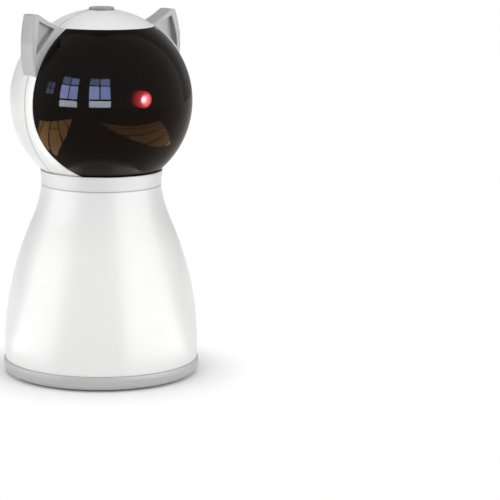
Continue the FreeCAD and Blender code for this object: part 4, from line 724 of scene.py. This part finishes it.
# Head shells. Two white mouldings make the ball: the rear half, and a narrow frame in front that
# widens to a cap over the visor. They meet at an upright seam, where a tongue lines them up.
head_radius = 36.4 * mm
head_centre = Vector((0.0, 0.0, 110.6363 * mm))
head_edge = 0.20 * mm
button_hole_radius = 5.25 * mm
shell_seam_y = -0.075 * mm


def head_skin(point):
    """The true normal of a point on the ball's outer face."""
    away = point - head_centre
    return away.normalized() if abs(away.length - head_radius) < skin_reach else None


def on_ball(point):
    return abs((point - head_centre).length - head_radius) < skin_reach


def head_grooves(tree):
    place = add_node(tree, "ShaderNodeSeparateXYZ", {0: object_place(tree)}).outputs
    reach = worked_out(tree, "SQRT", worked_out(tree, "ADD", worked_out(tree, "POWER", place["X"], 2.0),
                                                worked_out(tree, "POWER", place["Y"], 2.0)))
    above = worked_out(tree, "GREATER_THAN", place["Z"], head_centre.z)
    below = worked_out(tree, "MULTIPLY", worked_out(tree, "SUBTRACT", 1.0, above), 10.0 * mm)
    hole = worked_out(tree, "ADD", worked_out(tree, "SUBTRACT", reach, button_hole_radius), below)
    return [(level_distance(tree, "Y", shell_seam_y), 0.36 * mm, 0.5), (hole, 0.45 * mm, 0.6)]


head_plastic = moulded_plastic("head_white_plastic", shell_white, 0.30, 0.012, 0.04, 2600.0, 0.004 * mm,
                               head_grooves)
for shell in ("head_rear_shell", "head_front_frame"):
    fitted(refined(shell, on_ball, head_edge, head_skin), "head", shell, head_plastic)


# Visor. One polished moulding of smoked polycarbonate wraps round the face, flush with the white
# frame, and rests on a ledge inside it. The laser shines through it.
smoke = (0.020, 0.016, 0.013, 1.0)
visor_gloss_index = 1.29
window_distance = 0.50
board_lift = 1.0 * mm
dim_floor_lift = 0.5 * mm


def smoked_polycarbonate():
    material = new_material("smoked_polycarbonate")
    tree = material.node_tree
    skin = add_node(tree, "ShaderNodeGroup", {"Color": smoke, "Roughness": 0.03, "Mottle": 0.1,
                                              "Unevenness": 0.02, "Grain Scale": 900.0},
                    node_tree=moulded_finish).outputs
    flow = add_node(tree, "ShaderNodeBump", {"Height": cloud(tree, object_place(tree), 45.0, 1.0),
                                             "Distance": 0.02 * mm, "Strength": 0.07})
    visor = add_node(tree, "ShaderNodeBsdfPrincipled", {
        "Base Color": skin["Color"], "Roughness": skin["Roughness"], "Normal": flow.outputs[0],
        "Transmission Weight": 1.0, "IOR": visor_gloss_index,
        "Specular Tint": (1.0, 0.88, 0.78, 1.0)})
    add_node(tree, "ShaderNodeOutputMaterial", {"Surface": visor.outputs[0]})
    return material


visor = refined("visor", on_ball, head_edge, head_skin)
fitted(visor, "head", "visor", smoked_polycarbonate())


def hide_from_visor(light):
    """The lamp or card lights all but the visor."""
    receivers = bpy.data.collections.new(light.name + "_receivers")
    receivers.objects.link(visor)
    light.light_linking.receiver_collection = receivers
    receivers.collection_objects[0].light_linking.link_state = "EXCLUDE"


def only_for_visor(card):
    """The card shows in the visor alone."""
    receivers = bpy.data.collections.new(card.name + "_receivers")
    receivers.objects.link(visor)
    card.light_linking.receiver_collection = receivers


def mirrored_window(name, degrees, heights, panes):
    """The panes of a window that the visor mirrors. A pane is its two shares across, its two shares
    up, and its light."""
    for number, (left, right, low, high, color, level) in enumerate(panes):
        sides = [degrees[0] + (degrees[1] - degrees[0]) * share for share in (left, right)]
        sill, head = (heights[0] + (heights[1] - heights[0]) * share for share in (low, high))
        only_for_visor(arc_card(f"{name}_pane_{number}", sides, (window_distance, sill),
                                (window_distance, head), color, level))


def boarded(tree, color):
    """A wooden floor: boards of slightly different tone with dark gaps."""
    pale, dark = [(*(channel * tone for channel in color[:3]), 1.0) for tone in (1.25, 0.75)]
    return add_node(tree, "ShaderNodeTexBrick", {
        "Vector": object_place(tree), "Color1": pale, "Color2": dark, "Mortar": board_gap,
        "Scale": 4.0, "Mortar Size": 0.016, "Mortar Smooth": 0.3, "Brick Width": 2.4, "Row Height": 0.22},
        offset=0.37).outputs["Color"]


sky = (0.34, 0.46, 1.0, 1.0)
haze = (0.62, 0.80, 1.0, 1.0)
dusk = (1.0, 0.93, 0.86, 1.0)
board_gap = (0.05, 0.03, 0.01, 1.0)
window_panes = [(0.0, 0.47, 0.73, 1.0, sky, 9.0), (0.53, 1.0, 0.73, 1.0, sky, 13.0),
                (0.0, 0.47, 0.25, 0.69, sky, 26.0), (0.53, 1.0, 0.25, 0.69, sky, 22.0),
                (0.0, 1.0, 0.0, 0.20, haze, 24.0)]
small_panes = [(0.0, 0.45, 0.5, 1.0, sky, 4.0), (0.55, 1.0, 0.5, 1.0, sky, 6.0),
               (0.0, 0.45, 0.0, 0.42, sky, 7.0), (0.55, 1.0, 0.0, 0.42, sky, 7.0)]
mirrored_window("near_window", (-15.0, 11.0), (0.09, 0.42), window_panes)
mirrored_window("left_window", (-52.0, -29.5), (0.085, 0.40), window_panes)
mirrored_window("far_window", (-72.0, -61.5), (0.19, 0.30), small_panes)
for name, color, level, corners in (
        ("left_boards", (1.0, 0.56, 0.22, 1.0), 4.0,
         ((-69.0, 0.32), (-35.0, 0.395), (-47.0, 0.16), (-83.0, 0.088), (-94.0, 0.187), (-82.0, 0.343))),
        ("right_boards", (1.0, 0.5, 0.15, 1.0), 1.8,
         ((-2.0, 0.308), (77.0, 0.351), (117.0, 0.174), (55.0, 0.132), (13.0, 0.203)))):
    only_for_visor(reflection_card(name, [round_the_toy(degrees, distance, board_lift)
                                          for degrees, distance in corners],
                                   [tuple(range(len(corners)))], color, level, boarded))
only_for_visor(arc_card("dim_floor", (0.0, 360.0), (0.04, dim_floor_lift), (1.3, dim_floor_lift),
                        dusk, 0.52))
for light in softboxes + shine_strips + [floor]:
    hide_from_visor(light)


# Ears. Two satin grey mouldings, each with a three-cornered hollow in its face, are held by a flat
# tongue that the two head shells clamp between them.
trim_grey = (0.405, 0.405, 0.407, 1.0)


def free_ear_edge(point):
    return (point - head_centre).length > head_radius + 1.0 * mm


ear_plastic = moulded_plastic("ear_grey_plastic", trim_grey, 0.42, 0.03, 0.06, 3500.0, 0.012 * mm)
for ear in ("ear_left", "ear_right"):
    fitted(refined(ear, free_ear_edge, 0.15 * mm), "head", ear, ear_plastic)


# Top button. A satin grey cap stands a little above the ball and presses a switch on its own small
# board. The switch springs it back.
def button_grooves(tree):
    place = add_node(tree, "ShaderNodeSeparateXYZ", {0: object_place(tree)}).outputs
    reach = worked_out(tree, "SQRT", worked_out(tree, "ADD", worked_out(tree, "POWER", place["X"], 2.0),
                                                worked_out(tree, "POWER", place["Y"], 2.0)))
    return [(worked_out(tree, "SUBTRACT", reach, button_hole_radius), 0.45 * mm, 0.6)]


button_plastic = moulded_plastic("button_grey_plastic", trim_grey, 0.42, 0.03, 0.06, 3500.0,
                                 0.012 * mm, button_grooves)
top_button = refined("top_button", lambda point: False, head_edge)
fitted(top_button, "button", "top_button", button_plastic)
finish_nodes(level_board, "button_board")
finish_nodes(black_moulding, "button_switch", "switch_plunger")
finish_nodes(zinc, "button_board_screws")


# Head chassis and pan drive. A black plate across the head carries a small geared motor, whose
# acetal pinion turns the large acetal gear of the pan stage on its steel axle.
finish_nodes(black_moulding, "head_chassis")
finish_nodes(zinc, "chassis_screws", "pan_motor_screws")
finish_nodes(pressed_steel, "pan_motor")
finish_nodes(sprung_steel, "pan_motor_shaft", "pan_axle", "axle_clip")
finish_nodes(acetal, "pan_pinion", "pan_gear")


# Laser yoke and tilt drive. A dark moulded fork stands on the pan gear. A second motor on it tips
# the laser up and down through a pinion and a toothed sector.
dark_grey = (0.08, 0.08, 0.085, 1.0)
dark_moulding = moulded_plastic("dark_moulding", dark_grey, 0.45, 0.1, 0.1, 3200.0, 0.012 * mm)
finish_nodes(dark_moulding, "laser_yoke")
finish_nodes(zinc, "yoke_screws", "tilt_motor_screws")
finish_nodes(pressed_steel, "tilt_motor")
finish_nodes(sprung_steel, "tilt_motor_shaft")
finish_nodes(acetal, "tilt_pinion")


# Laser unit. A dark cradle with the toothed sector holds a brass barrel, with a small lens behind
# a screwed ring. The lit lens's red glow is painted as emission on the pieces close round it.
laser_height = head_centre.z + 2.95 * mm
ring_front = -29.1 * mm
painted_glow_reach = 7.0 * mm
painted_glow_strength = 100.0
lens_strength = 130.0
rim_reach = 3.0 * mm
laser_red = (1.0, 0.05, 0.08, 1.0)
hot_pink = (1.0, 0.42, 0.68, 1.0)

# How strong the lens's painted glow is at a point near it: 1 at the lens, 0 beyond the reach.
lens_glow_falloff = new_group("lens_glow_falloff", {"Centre": ("Vector", (0.0, ring_front, laser_height)),
                                        "Reach": ("Float", painted_glow_reach)}, {"Mask": "Float"})
given = add_node(lens_glow_falloff, "NodeGroupInput").outputs
gap = add_node(lens_glow_falloff, "ShaderNodeVectorMath", {0: object_place(lens_glow_falloff), 1: given["Centre"]},
               operation="DISTANCE").outputs["Value"]
near = add_node(lens_glow_falloff, "ShaderNodeMapRange", {"Value": worked_out(lens_glow_falloff, "DIVIDE", gap,
                                                                        given["Reach"]),
                                                    "To Min": 1.0, "To Max": 0.0})
add_node(lens_glow_falloff, "NodeGroupOutput", {"Mask": worked_out(lens_glow_falloff, "POWER", near.outputs[0], 3.0)})


def with_painted_red_glow(material):
    """Paints the lens's red glow as emission on a piece close round it."""
    tree = material.node_tree
    shader = next(node for node in tree.nodes if node.type == "BSDF_PRINCIPLED")
    painted_glow = add_node(tree, "ShaderNodeGroup", {}, node_tree=lens_glow_falloff).outputs["Mask"]
    hot = add_node(tree, "ShaderNodeMapRange", {"Value": painted_glow, "From Min": 0.14, "From Max": 0.70})
    light = shaded(tree, blended(tree, hot.outputs[0], laser_red, hot_pink), painted_glow)
    tree.links.new(light, shader.inputs["Emission Color"])
    shader.inputs["Emission Strength"].default_value = painted_glow_strength
    return material


def glowing_lens():
    material = new_material("lit_laser_lens")
    tree = material.node_tree
    skin = add_node(tree, "ShaderNodeGroup", {"Color": (0.9, 0.03, 0.03, 1.0), "Roughness": 0.06,
                                              "Mottle": 0.05, "Unevenness": 0.02, "Grain Scale": 4000.0},
                    node_tree=moulded_finish).outputs
    rim = add_node(tree, "ShaderNodeGroup", {"Reach": rim_reach}, node_tree=lens_glow_falloff).outputs["Mask"]
    light = blended(tree, rim, hot_pink, (1.0, 0.85, 1.0, 1.0))
    lens = add_node(tree, "ShaderNodeBsdfPrincipled", {
        "Base Color": skin["Color"], "Roughness": skin["Roughness"], "Emission Color": light,
        "Emission Strength": lens_strength})
    add_node(tree, "ShaderNodeOutputMaterial", {"Surface": lens.outputs[0]})
    material.cycles.emission_sampling = "NONE"
    return material


# The barrel, the ring and the cradle carry the lens's red glow, painted on as emission.
turned_brass_painted_glow = with_painted_red_glow(plain_metal("turned_brass_painted_glow", (0.75, 0.55, 0.22, 1.0), 0.28, 0.08, 0.1, 9000.0,
                                   0.003 * mm))
cradle_painted_glow = with_painted_red_glow(moulded_plastic("cradle_moulding_painted_glow", dark_grey, 0.45, 0.1, 0.1, 3200.0,
                                       0.012 * mm))
finish_nodes(cradle_painted_glow, "laser_cradle")
finish_nodes(turned_brass_painted_glow, "laser_barrel", "lens_ring")
finish_nodes(glowing_lens(), "laser_lens")
finish_nodes(sprung_steel, "tilt_pins")
finish_nodes(upright_board, "laser_board")
finish_nodes(zinc, "barrel_screw")
